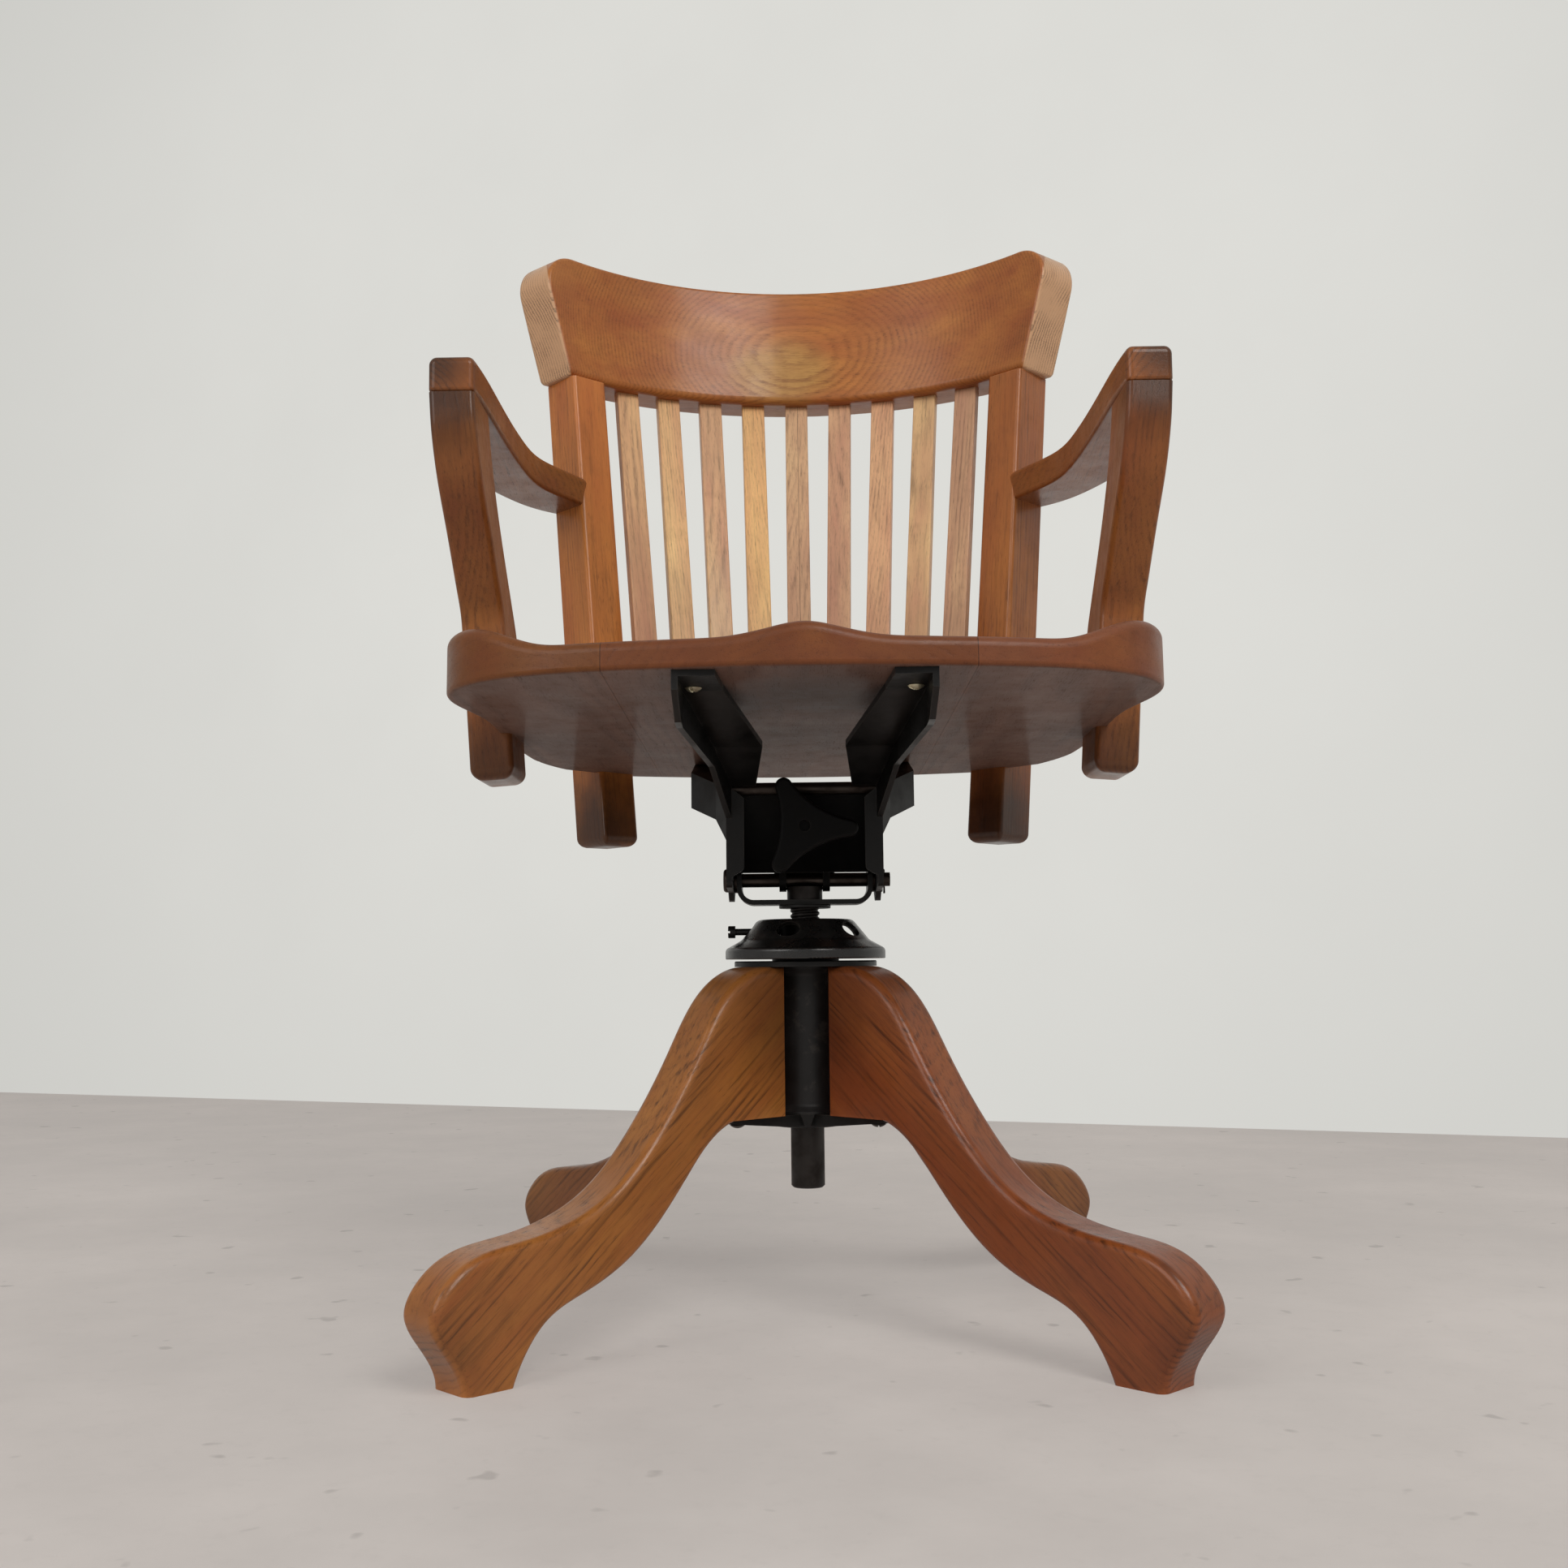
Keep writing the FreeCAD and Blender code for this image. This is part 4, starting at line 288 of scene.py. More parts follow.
def oak(name, color, along, outward, pith, ring=3.0 * MM, ring_depth=0.3, streaks=0.5, warp=1.0,
        marks_and_shade=(), lines=(), underside=None, gloss=0.34, coat=0.22, mottle=0.45, shift=0.0,
        heart=None, ends=(0.55, 0.85), end_facet=None, corner_shine=0.0):
    """Varnished oak whose year rings turn about an axis along the grain through pith.

    ring is the width of a year, ring_depth and streaks say how dark the rings and vessels are, warp
    how far the rings waver, mottle how cloudy the colour is, and shift moves the grain along itself.
    stains are (point, radius, darkness) of darker spots, some real marks and some painted shade
    where other parts shade the piece, lines are (x of an upright plane, width), underside is the
    colour of faces that look down, heart is (point, radius, colour) of a lighter patch, ends says how
    squarely a face must meet the grain to show end grain, end_facet is (x, slope, z, colour) of end
    grain outside a leaning line, and corner_shine is how strong a painted highlight along sharp
    corners is. All edges also get a faint painted highlight. gloss is the roughness of the wood and
    coat the weight of the varnish.
    """
    shade = Shade(name)
    own = shade.turn(shade.place, grain_axes(along, outward), pith)
    own = shade.vector("ADD", own, (0.0, 0.0, shift))
    slow = shade.noise(shade.stretch(own, (1.0, 1.0, 0.22)), 22.0, 2.0)
    wobble = shade.noise(shade.stretch(own, (1.0, 1.0, 0.3)), 70.0, 2.0)
    tooth = shade.noise(shade.stretch(own, (1.0, 1.0, 0.09)), 1300.0, 1.0)
    a, b = shade.split(own)[:2]
    depth = shade.vector("LENGTH", shade.join(a, b, 0.0))
    for waver, reach in ((slow, 16.0 * MM * warp), (wobble, 3.0 * MM * warp), (tooth, 1.5 * MM)):
        depth = shade.plus(depth, shade.times(waver, reach))
    year = shade.math("FRACT", shade.math("DIVIDE", depth, ring))
    band = shade.math("MAXIMUM", shade.span(year, 0.45, 0.03), shade.span(year, 0.80, 0.98))
    shown = shade.noise(shade.stretch(own, (1.0, 1.0, 0.2)), 30.0, 2.0)
    band = shade.times(band, shade.span(shown, 0.36, 0.64, 0.3, 1.0))
    vessel = shade.noise(shade.stretch(own, (1.0, 1.0, 0.04)), 330.0, 3.0, 0.62)
    streak = shade.times(shade.span(vessel, 0.50, 0.64), shade.span(band, 0.0, 0.8, 0.4, 1.0))
    speck = shade.noise(shade.stretch(own, (1.0, 1.0, 0.07)), 1500.0, 1.0, 0.5)
    pore = shade.times(shade.span(speck, 0.58, 0.70), shade.span(band, 0.0, 0.8, 0.45, 1.0))
    broad = shade.noise(shade.stretch(own, (1.0, 1.0, 0.16)), 26.0, 3.0, 0.6)
    cloud = shade.noise(shade.place, 9.0, 3.0, 0.6)
    warm = (color[0] * 1.18, color[1] * 1.32, color[2] * 1.2)
    red = (color[0] * 0.84, color[1] * 0.70, color[2] * 0.76)
    body = shade.blend(shade.span(broad, 0.32, 0.68), red, warm)
    body = shade.blend(shade.span(cloud, 0.38, 0.62, 0.0, mottle), body, tone(color, 0.72))
    body = shade.blend(shade.times(band, ring_depth), body, tone(color, 0.42))
    if heart is not None:
        point, size, pale = heart
        away = shade.vector("SUBTRACT", shade.place, tuple(point))
        far = shade.vector("LENGTH", shade.stretch(away, (0.66, 0.3, 1.0)))
        far = shade.plus(far, shade.times(wobble, 0.3 * size))
        lit = shade.blend(shade.times(band, 0.5), pale, tone(color, 0.62))
        body = shade.blend(shade.span(far, 1.25 * size, 0.6 * size, 0.0, 0.85, True), body, lit)
    normal = shade.tree.nodes["Texture Coordinate"].outputs["Normal"]
    squarely = shade.math("ABSOLUTE", shade.vector("DOT_PRODUCT", normal,
                                                   tuple(Vector(along).normalized())))
    cut = shade.span(squarely, ends[0], ends[1], 0.0, 0.85)
    open_end = tone(color, 1.35)
    if end_facet is not None:
        line_x, slope, line_z, open_end = end_facet
        x, _, z = shade.split(shade.place)[:]
        line = shade.math("MULTIPLY_ADD", z, slope, line_x - slope * line_z)
        beyond = shade.math("SUBTRACT", shade.math("ABSOLUTE", x), line)
        cut = shade.span(beyond, -0.4 * MM, 0.6 * MM, 0.0, 0.95)
    end_grain = shade.blend(shade.span(band, 0.2, 0.9), open_end, tone(open_end, 0.45))
    body = shade.blend(cut, body, end_grain)
    bare = shade.math("SUBTRACT", 1.0, cut)
    if underside is not None:
        down = shade.span(shade.split(normal)[2], -0.75, -0.95)
        plain = shade.blend(shade.span(broad, 0.3, 0.7), tone(underside, 0.82), tone(underside, 1.15))
        plain = shade.blend(shade.times(band, 0.4), plain, tone(underside, 0.55))
        body = shade.blend(down, body, plain)
    dark = shade.times(shade.times(streak, streaks), bare)
    body = shade.blend(dark, body, tone(color, 0.30))
    body = shade.blend(shade.times(shade.times(pore, 0.55), bare), body, tone(color, 0.25))
    grime = shade.noise(shade.place, 38.0, 4.0, 0.65)
    body = shade.blend(shade.times(shade.span(grime, 0.56, 0.80), 0.28), body,
                       tone(color, 0.35))
    # painted highlight: edges made lighter, where the varnish's gloss would catch the light
    edge_sheen = shade.times(shade.bevel_edge_mask(4.0 * MM), shade.span(grime, 0.35, 0.6))
    body = shade.blend(shade.times(edge_sheen, 0.22), body, tone(color, 1.7))
    # painted highlight along sharp corners
    if corner_shine:
        corner_glint = shade.times(shade.bevel_edge_mask(0.9 * MM, 2.5), corner_shine)
        body = shade.blend(corner_glint, body, CORNER_HIGHLIGHT)
    # darker spots: some real marks, some painted shade where another part shades the piece
    for point, size, darkness in marks_and_shade:
        far = shade.vector("DISTANCE", shade.place, tuple(point))
        near = shade.span(shade.plus(far, shade.times(grime, 0.5 * size)),
                          1.25 * size, 0.35 * size, 0.0, darkness, True)
        body = shade.blend(near, body, STAIN_AND_SHADE)
    for x, width in lines:
        side = shade.math("ABSOLUTE", shade.math("SUBTRACT", shade.split(shade.place)[0], x))
        body = shade.blend(shade.span(side, width, 0.3 * width, 0.0, 0.8), body, tone(color, 0.15))
    dull = shade.plus(shade.span(grime, 0.3, 0.75, gloss - 0.06, gloss + 0.16),
                      shade.times(pore, 0.15))
    if underside is not None:
        dull = shade.plus(dull, shade.times(down, 0.22))
    hollow = shade.plus(shade.times(streak, 0.6), shade.times(pore, 0.5))
    shade.relief(shade.math("SUBTRACT", shade.times(band, -0.2), hollow), 0.2 * MM, 0.45)
    return shade.finish(body, dull, Specular_IOR_Level=0.28, Coat_Weight=coat,
                        Coat_Roughness=0.16)


def iron(name, color, roughness=0.42, wear_and_highlight=(0.05, 0.044, 0.038), edge_highlight=0.5, patches=0.0,
         specular=0.35):
    """Black finished iron with painted highlight on its edges, and patches scuffed to dull metal."""
    shade = Shade(name)
    grit = shade.noise(shade.place, 900.0, 3.0, 0.6)
    cloud = shade.noise(shade.place, 45.0, 4.0, 0.65)
    body = shade.blend(shade.span(cloud, 0.3, 0.7), tone(color, 0.7), tone(color, 1.4))
    # painted highlight: edges made lighter toward the scuffed-metal colour
    edge = shade.times(shade.bevel_edge_mask(1.4 * MM), shade.span(cloud, 0.35, 0.62))
    body = shade.blend(shade.times(edge, edge_highlight), body, wear_and_highlight)
    if patches:
        flake = shade.noise(shade.place, 85.0, 5.0, 0.7)
        body = shade.blend(shade.span(flake, 0.55, 0.66, 0.0, patches), body, wear_and_highlight)
    gloss = shade.span(cloud, 0.3, 0.7, roughness - 0.08, roughness + 0.14)
    shade.relief(shade.plus(grit, shade.times(cloud, 1.5)), 0.10 * MM, 0.4)
    return shade.finish(body, gloss, Specular_IOR_Level=specular)


def steel(name, color, roughness=0.38, brushed=(1.0, 1.0, 1.0), hollows=(0.12, 0.07, 0.045),
          metallic=0.9):
    """Bare steel with drawn scratches, brown in its hollows."""
    shade = Shade(name)
    drawn = shade.noise(shade.stretch(shade.place, brushed), 700.0, 3.0, 0.6)
    cloud = shade.noise(shade.place, 60.0, 4.0, 0.6)
    body = shade.blend(shade.span(cloud, 0.42, 0.68), color, hollows)
    body = shade.blend(shade.times(drawn, 0.3), body, tone(color, 0.5))
    shade.relief(drawn, 0.05 * MM, 0.4)
    return shade.finish(body, shade.span(cloud, 0.3, 0.7, roughness - 0.06, roughness + 0.2),
                        Metallic=metallic)


def dress(node, material):
    """Gives a carried-over piece its material."""
    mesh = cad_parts[node].data
    mesh.materials.clear()
    mesh.materials.append(material)


# Mesh helpers

def solid(name, verts, faces, material, body, smooth_angle=35.0):
    """Object from a list of corners and faces, riding on one body."""
    mesh = bpy.data.meshes.new(name)
    mesh.from_pydata([tuple(v) for v in verts], [], faces)
    work = bmesh.new()
    work.from_mesh(mesh)
    bmesh.ops.remove_doubles(work, verts=work.verts, dist=1e-7)
    bmesh.ops.recalc_face_normals(work, faces=work.faces)
    work.to_mesh(mesh)
    work.free()
    mesh.materials.append(material)
    piece = bpy.data.objects.new(name, mesh)
    bpy.context.scene.collection.objects.link(piece)
    mesh.shade_smooth()
    mesh.set_sharp_from_angle(angle=radians(smooth_angle))
    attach(piece, body)
    return piece


def skin(rows, count, last_open=False):
    """Faces that join rows of count corners round a hollow, and close its ends."""
    faces = []
    for row in range(0, (rows - 1) * count, count):
        for i in range(count):
            j = (i + 1) % count
            faces.append((row + i, row + j, row + count + j, row + count + i))
    faces.append(tuple(range(count)))
    if not last_open:
        faces.append(tuple(range((rows - 1) * count, rows * count)))
    return faces


def lathe(rings, axis_point, axis, start):
    """Corners and faces of rings [(list of radii, height)], each ring round one axis."""
    verts = []
    axis = Vector(axis).normalized()
    start = (Vector(start) - axis * Vector(start).dot(axis)).normalized()
    side = axis.cross(start)
    count = len(rings[0][0])
    for radii, height in rings:
        for i, radius in enumerate(radii):
            angle = 2.0 * pi * i / count
            verts.append(Vector(axis_point) + axis * height
                         + (start * cos(angle) + side * sin(angle)) * radius)
    return verts, skin(len(rings), count)


def tube(path, radius, sides=14):
    """Corners and faces of a round wire along a path of points."""
    verts = []
    normal = None
    for k, point in enumerate(path):
        before = path[max(0, k - 1)]
        after = path[min(len(path) - 1, k + 1)]
        tangent = (after - before).normalized()
        if normal is None:
            normal = tangent.orthogonal().normalized()
        normal = (normal - tangent * normal.dot(tangent)).normalized()
        side = tangent.cross(normal)
        for i in range(sides):
            angle = 2.0 * pi * i / sides
            verts.append(point + (normal * cos(angle) + side * sin(angle)) * radius)
    return verts, skin(len(path), sides)


# Settings

class ChairSettings(bpy.types.PropertyGroup):
    """Sizes and colours of the chair's finishes."""
    oak_color: FloatVectorProperty(
        name="Oak", description="Colour of the varnished oak", subtype="COLOR", size=3,
        min=0.0, max=1.0, default=(0.27, 0.092, 0.024))
    slat_color: FloatVectorProperty(
        name="Slats", description="Colour of the paler oak of the slats", subtype="COLOR", size=3,
        min=0.0, max=1.0, default=(0.66, 0.39, 0.205))
    iron_color: FloatVectorProperty(
        name="Iron", description="Colour of the black iron", subtype="COLOR", size=3,
        min=0.0, max=1.0, default=(0.0045, 0.0042, 0.004))
    rod_color: FloatVectorProperty(
        name="Rods", description="Colour of the brown steel rods", subtype="COLOR", size=3,
        min=0.0, max=1.0, default=(0.055, 0.044, 0.038))
    thread_pitch: FloatProperty(
        name="Thread Pitch", description="Rise of the spindle's screw in one turn", unit="LENGTH",
        default=4.0 * MM, min=2.0 * MM, max=8.0 * MM)
    thread_depth: FloatProperty(
        name="Thread Depth", description="Depth of the spindle's screw", unit="LENGTH",
        default=1.1 * MM, min=0.4 * MM, max=2.0 * MM)


class StageSettings(bpy.types.PropertyGroup):
    """Floor, wall, light and camera."""
    floor_color: FloatVectorProperty(
        name="Floor", description="Colour of the screed floor", subtype="COLOR", size=3,
        min=0.0, max=1.0, default=(0.70, 0.65, 0.61))
    wall_color: FloatVectorProperty(
        name="Wall", description="Colour of the painted wall", subtype="COLOR", size=3,
        min=0.0, max=1.0, default=(0.72, 0.715, 0.68))
    sky_strength: FloatProperty(
        name="Room Light", description="Strength of the light from all sides", default=0.38, min=0.0)


def chair():
    return bpy.context.scene.chair_settings


# Oak pieces

class CHAIR_OT_legs(bpy.types.Operator):
    """Finishes the four legs, each cut from its own plank"""
    bl_idname = "chair.legs"
    bl_label = "Oak Legs"

    def execute(self, context):
        base = Vector(chair().oak_color)
        looks = {"leg_front_left": ((1.30, 1.36, 1.2), 4.6, 0.0),
                 "leg_front_right": ((0.90, 0.69, 0.68), 3.9, 0.13),
                 "leg_rear_right": ((0.90, 0.85, 0.8), 4.1, 0.31),
                 "leg_rear_left": ((0.92, 0.95, 0.9), 4.8, 0.47)}
        for node, azimuth in LEGS.items():
            share, ring, shift = looks[node]
            angle = radians(azimuth)
            out = Vector((cos(angle), sin(angle), 0.0))
            along = out * 0.79 + Vector((0.0, 0.0, -0.61))
            side = Vector((-sin(angle), cos(angle), 0.0))
            pith = at(0, 0, 120) + side * 46.0 * MM - Vector((0.0, 0.0, 0.05))
            toe = at(0, 0, 20) + out * 0.318
            root = at(0, 0, 205) + out * 0.03
            color = tinted(base, share)
            dress(node, oak("oak_" + node, color, along, side, pith, ring * MM, 0.22,
                            streaks=0.9, marks_and_shade=((toe, 0.045, 0.5), (root, 0.075, 0.55)),
                            shift=shift))
        return {"FINISHED"}


class CHAIR_OT_seat(bpy.types.Operator):
    """Finishes the glued-up seat, varnished above and bare below, with painted reflection below"""
    bl_idname = "chair.seat"
    bl_label = "Oak Seat"

    def execute(self, context):
        base = Vector(chair().oak_color)
        boards = {"seat_board_left": ((0.72, 0.66, 0.5), -175, 0.0),
                  "seat_board_middle": ((0.74, 0.62, 0.62), 25, 0.2),
                  "seat_board_right": ((0.84, 0.74, 0.95), 160, 0.43)}
        joints = [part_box("seat_board_middle")[i].x for i in (0, 1)]
        for node, (share, x, shift) in boards.items():
            color = tinted(base, share)
            dress(node, oak("oak_" + node, color, (0.02, 1.0, 0.0), (0.0, 0.0, 1.0), at(x, 0, 330),
                            6.5 * MM, 0.10, streaks=0.22, shift=shift, ends=(1.1, 1.2),
                            lines=tuple((joint, 0.5 * MM) for joint in joints),
                            underside=SEAT_UNDERSIDE, gloss=0.42, coat=0.1, mottle=0.8,
                            # painted reflection of the dark mechanism: a dark spot on the underside
                            # near the front
                            marks_and_shade=((at(0, -150, 408), 0.11, 0.7),)))
        return {"FINISHED"}


class CHAIR_OT_arms(bpy.types.Operator):
    """Finishes the arms and posts, darker at arm ends and post tops, with painted seat shadow"""
    bl_idname = "chair.arms"
    bl_label = "Oak Arms"

    def execute(self, context):
        base = Vector(chair().oak_color)
        for side, name in ((-1.0, "left"), (1.0, "right")):
            share = (0.90, 0.84, 0.75) if side < 0 else (1.05, 0.98, 0.9)
            color = tinted(base, share)
            low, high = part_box("arm_" + name)
            knuckle = Vector((side * 0.254, low.y, high.z - 0.010))
            dress("arm_" + name, oak(
                "oak_arm_" + name, color, (side * 0.05, 1.0, 0.0), (0.0, 0.0, 1.0),
                at(side * 300, 0, 610), 4.2 * MM, 0.22, marks_and_shade=((knuckle, 0.042, 0.8),),
                shift=0.1 * side))
            low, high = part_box("arm_post_" + name)
            head = Vector((side * 0.254, low.y, high.z))
            # painted shadow of the seat on the post's foot
            foot = at(side * 226, -6, 385)
            dress("arm_post_" + name, oak(
                "oak_arm_post_" + name, color, (side * 0.08, -0.22, 1.0), (side, 0.0, 0.0),
                at(side * 300, -60, 400), 4.0 * MM, 0.22,
                marks_and_shade=((head, 0.062, 0.8), (foot, 0.06, 0.6)), shift=0.3 + 0.1 * side))
        return {"FINISHED"}


class CHAIR_OT_back(bpy.types.Operator):
    """Finishes the back posts, the crest rail with its ring pattern and the slats"""
    bl_idname = "chair.back"
    bl_label = "Oak Back"

    def execute(self, context):
        base = Vector(chair().oak_color)
        for side, name in ((-1.0, "left"), (1.0, "right")):
            # painted light: the left post is made lighter than the right, as the light falls more on
            # its inner face; the dark spot at each post's foot is painted shade under the seat
            share = (2.0, 2.0, 1.8) if side < 0 else (1.45, 1.36, 1.35)
            color = tinted(base, share)
            dress("back_post_" + name, oak(
                "oak_back_post_" + name, color, (side * 0.085, 0.14, 1.0), (side * 0.7, 0.7, 0.0),
                at(side * 235, 300, 560), 4.2 * MM, 0.2, corner_shine=0.6,
                marks_and_shade=((at(side * 176, 190, 352), 0.10, 0.88),), shift=0.2 * side))
        eye = at(-13, 327, 806)
        # painted light: the crest rail is made lighter than the legs, for the light that falls on it
        # from above
        lit_crest_color = tinted(base, (1.50, 1.46, 1.4))
        dress("crest_rail", oak(
            "oak_crest_rail", lit_crest_color, (1.0, 0.0, 0.0), (0.0, 1.0, 0.0),
            eye + Vector((0.0, 0.128, 0.0)), 2.1 * MM, 0.42, streaks=0.35, warp=0.3,
            end_facet=(0.203, 0.224, 0.774, CREST_END_GRAIN), corner_shine=0.5,
            heart=(eye, 0.038, CREST_HEART)))
        dress("arm_dowels", bpy.data.materials["oak_crest_rail"])
        pale = Vector(chair().slat_color)
        tones = ((0.98, 0.92, 0.95), (1.22, 1.25, 1.15), (1.05, 1.05, 1.10), (1.20, 1.15, 0.95),
                 (0.92, 0.90, 1.02), (0.95, 0.92, 1.05), (1.05, 0.98, 1.08), (1.05, 1.10, 1.10),
                 (0.85, 0.80, 0.92))
        for number, (node, share) in enumerate(zip(SLATS, tones)):
            low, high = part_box(node)
            middle = (low + high) * 0.5
            lean = Vector((0.8 * middle.x, 0.27, 1.0))
            color = tinted(pale, share)
            pith = middle + Vector((0.025 * (1 if number % 2 else -1), 0.03 + 0.004 * number, 0.0))
            crack = ((middle.x + 0.001, 0.35 * MM),) if number == 4 else ()
            dress(node, oak("oak_" + node, color, lean, (0.0, 1.0, 0.0), pith,
                            (2.0 + 0.4 * (number % 3)) * MM, 0.28, streaks=0.55, warp=0.6,
                            lines=crack, shift=0.17 * number, gloss=0.42))
        return {"FINISHED"}


# Iron and steel pieces

class CHAIR_OT_iron(bpy.types.Operator):
    """Finishes the carried-over iron and steel"""
    bl_idname = "chair.iron"
    bl_label = "Iron and Steel"

    def execute(self, context):
        black = iron("black_iron", tuple(chair().iron_color), 0.38, specular=0.3)
        # a darker, less shiny copy of the black iron, for the knob, pressure plate, spring post and
        # tension bolt
        darker_black = iron("darker_iron", tone(chair().iron_color, 0.6), 0.5, edge_highlight=0.3, specular=0.12)
        # painted highlight: the adjuster cap's iron is lighter and its edges paler than the black
        # iron; its low roughness and strong specular are its own gloss
        glossy = iron("highlit_iron", tone(chair().iron_color, 1.3), 0.26, edge_highlight=0.8, specular=0.75)
        for node in BLACK_IRON:
            dress(node, black)
        for node in DARKER_IRON:
            dress(node, darker_black)
        dress("adjuster_cap", glossy)
        dress("hub_tube", iron("worn_tube", (0.010, 0.009, 0.009), 0.45, wear_and_highlight=(0.040, 0.034, 0.030),
                               edge_highlight=0.6, patches=0.6))
        rods = steel("rod_steel", tuple(chair().rod_color), 0.34, hollows=(0.022, 0.015, 0.012))
        for node in RODS:
            dress(node, rods)
        bright = steel("bright_steel", (0.70, 0.66, 0.47), 0.36)
        for node in BRIGHT_SCREWS:
            dress(node, bright)
        return {"FINISHED"}


def open_head(radius, foot, top, rod_z, rod_r):
    """Corners and faces of the rear half of the spindle's head, with the rod's half bore in front."""
    levels = [(foot, 0.0, radius)]
    for k in range(13):
        turn = pi * (k / 12.0 - 0.5)
        levels.append((rod_z + rod_r * sin(turn), rod_r * cos(turn), radius))
    levels += [(top - CHAMFER, 0.0, radius), (top, 0.0, radius - CHAMFER)]
    verts = []
    count = 28
    for z, hollow, r in levels:
        first = asin(min(1.0, hollow / r))
        for i in range(count):
            turn = first + (pi - 2.0 * first) * i / (count - 1)
            verts.append(Vector((r * cos(turn), SPINDLE_Y + r * sin(turn), z)))
    return verts, skin(len(levels), count)


class CHAIR_OT_spindle(bpy.types.Operator):
    """Cuts the spindle with its screw thread, plain sleeve and head"""
    bl_idname = "chair.spindle"
    bl_label = "Screw Spindle"

    def execute(self, context):
        settings = chair()
        low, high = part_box("spindle")
        head_r = (high.x - low.x) / 2.0
        count = 40
        pitch, depth = settings.thread_pitch, settings.thread_depth

        def level(radius):
            return [radius] * count

        def threaded(z):
            radii = []
            for i in range(count):
                phase = (z / pitch - i / count) % 1.0
                crest = min(1.0, max(0.0, (abs(phase - 0.5) - THREAD_ROOT) / THREAD_FLANK))
                fade = min(1.0, (z - SLEEVE_TOP - RUN_OUT) / RUN_OUT, (SCREW_TOP - z) / RUN_OUT)
                radii.append(SCREW_R - depth * (1.0 - crest) * max(0.0, fade))
            return radii

        rings = [(level(SLEEVE_R - CHAMFER), low.z), (level(SLEEVE_R), low.z + CHAMFER),
                 (level(SLEEVE_R), SLEEVE_TOP), (level(SCREW_R), SLEEVE_TOP + RUN_OUT)]
        step = pitch / 10.0
        z = SLEEVE_TOP + RUN_OUT + step
        while z < SCREW_TOP - 0.5 * step:
            rings.append((threaded(z), z))
            z += step
        rings += [(level(SCREW_R), SCREW_TOP), (level(head_r), SCREW_TOP),
                  (level(head_r), PIVOT_Z - PIVOT_R)]
        verts, faces = gather((
            lathe(rings, (0.0, SPINDLE_Y, 0.0), (0, 0, 1), (1, 0, 0)),
            open_head(head_r, PIVOT_Z - PIVOT_R - 0.5 * MM, high.z, PIVOT_Z, PIVOT_R)))
        metal = steel("spindle_steel", (0.035, 0.031, 0.029), 0.42, (1.0, 1.0, 0.15),
                      (0.018, 0.013, 0.011), 0.7)
        spindle = solid("screw_spindle", verts, faces, metal, "spindle_body", 50.0)
        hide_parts("spindle")
        return {"FINISHED"}


class CHAIR_OT_spring(bpy.types.Operator):
    """Winds the tension spring that the tilt squeezes"""
    bl_idname = "chair.spring"
    bl_label = "Tension Spring"

    def execute(self, context):
        low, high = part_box("tension_spring")
        mean = (high.x - low.x) / 2.0 - WIRE_R
        centre = (low + high) * 0.5
        free = high.y - low.y - 2.0 * WIRE_R
        pitch = (free - 2.0 * END_TURNS * END_PITCH) / BODY_TURNS
        total = 2.0 * END_TURNS + BODY_TURNS
        steps = int(total * 40)
        path = []
        for k in range(steps + 1):
            turn = total * k / steps
            if turn < END_TURNS:
                run = turn * END_PITCH
            elif turn > total - END_TURNS:
                run = free - (total - turn) * END_PITCH
            else:
                run = END_TURNS * END_PITCH + (turn - END_TURNS) * pitch
            angle = 2.0 * pi * turn
            path.append(Vector((centre.x + mean * cos(angle), low.y + WIRE_R + run,
                                centre.z + mean * sin(angle))))
        verts, faces = tube(path, WIRE_R)
        metal = steel("spring_steel", (0.07, 0.063, 0.056), 0.36, hollows=(0.03, 0.022, 0.018))
        spring = solid("coil_spring", verts, faces, metal, "seat_body", 60.0)
        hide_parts("tension_spring")
        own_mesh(spring)
        return {"FINISHED"}


def slotted_head(point, outward, radius, height, turn):
    """Corners and faces of a domed screw head with one sawn slot."""
    outward = Vector(outward).normalized()
    start = outward.orthogonal().normalized()
    side = outward.cross(start)
    verts = []
    rows, count = 9, 36
    slot_half, slot_depth = 0.13 * radius, 0.55 * height
    dome_r = (radius * radius + height * height) / (2.0 * height)
    for k in range(rows):
        share = k / (rows - 1)
        r = radius * cos(share * pi / 2.0)
        z = sqrt(max(0.0, dome_r * dome_r - r * r)) - dome_r + height
        for i in range(count):
            angle = 2.0 * pi * i / count + turn
            x, y = r * cos(angle), r * sin(angle)
            sunk = slot_depth if abs(y * cos(turn) - x * sin(turn)) < slot_half else 0.0
            top = max(0.0, z - sunk) if k else z
            verts.append(Vector(point) + start * x + side * y + outward * top)
    return verts, skin(rows, count, last_open=True)


def gather(parts):
    """One list of corners and faces out of several."""
    verts, faces = [], []
    for some_verts, some_faces in parts:
        first = len(verts)
        verts += some_verts
        faces += [tuple(first + i for i in face) for face in some_faces]
    return verts, faces


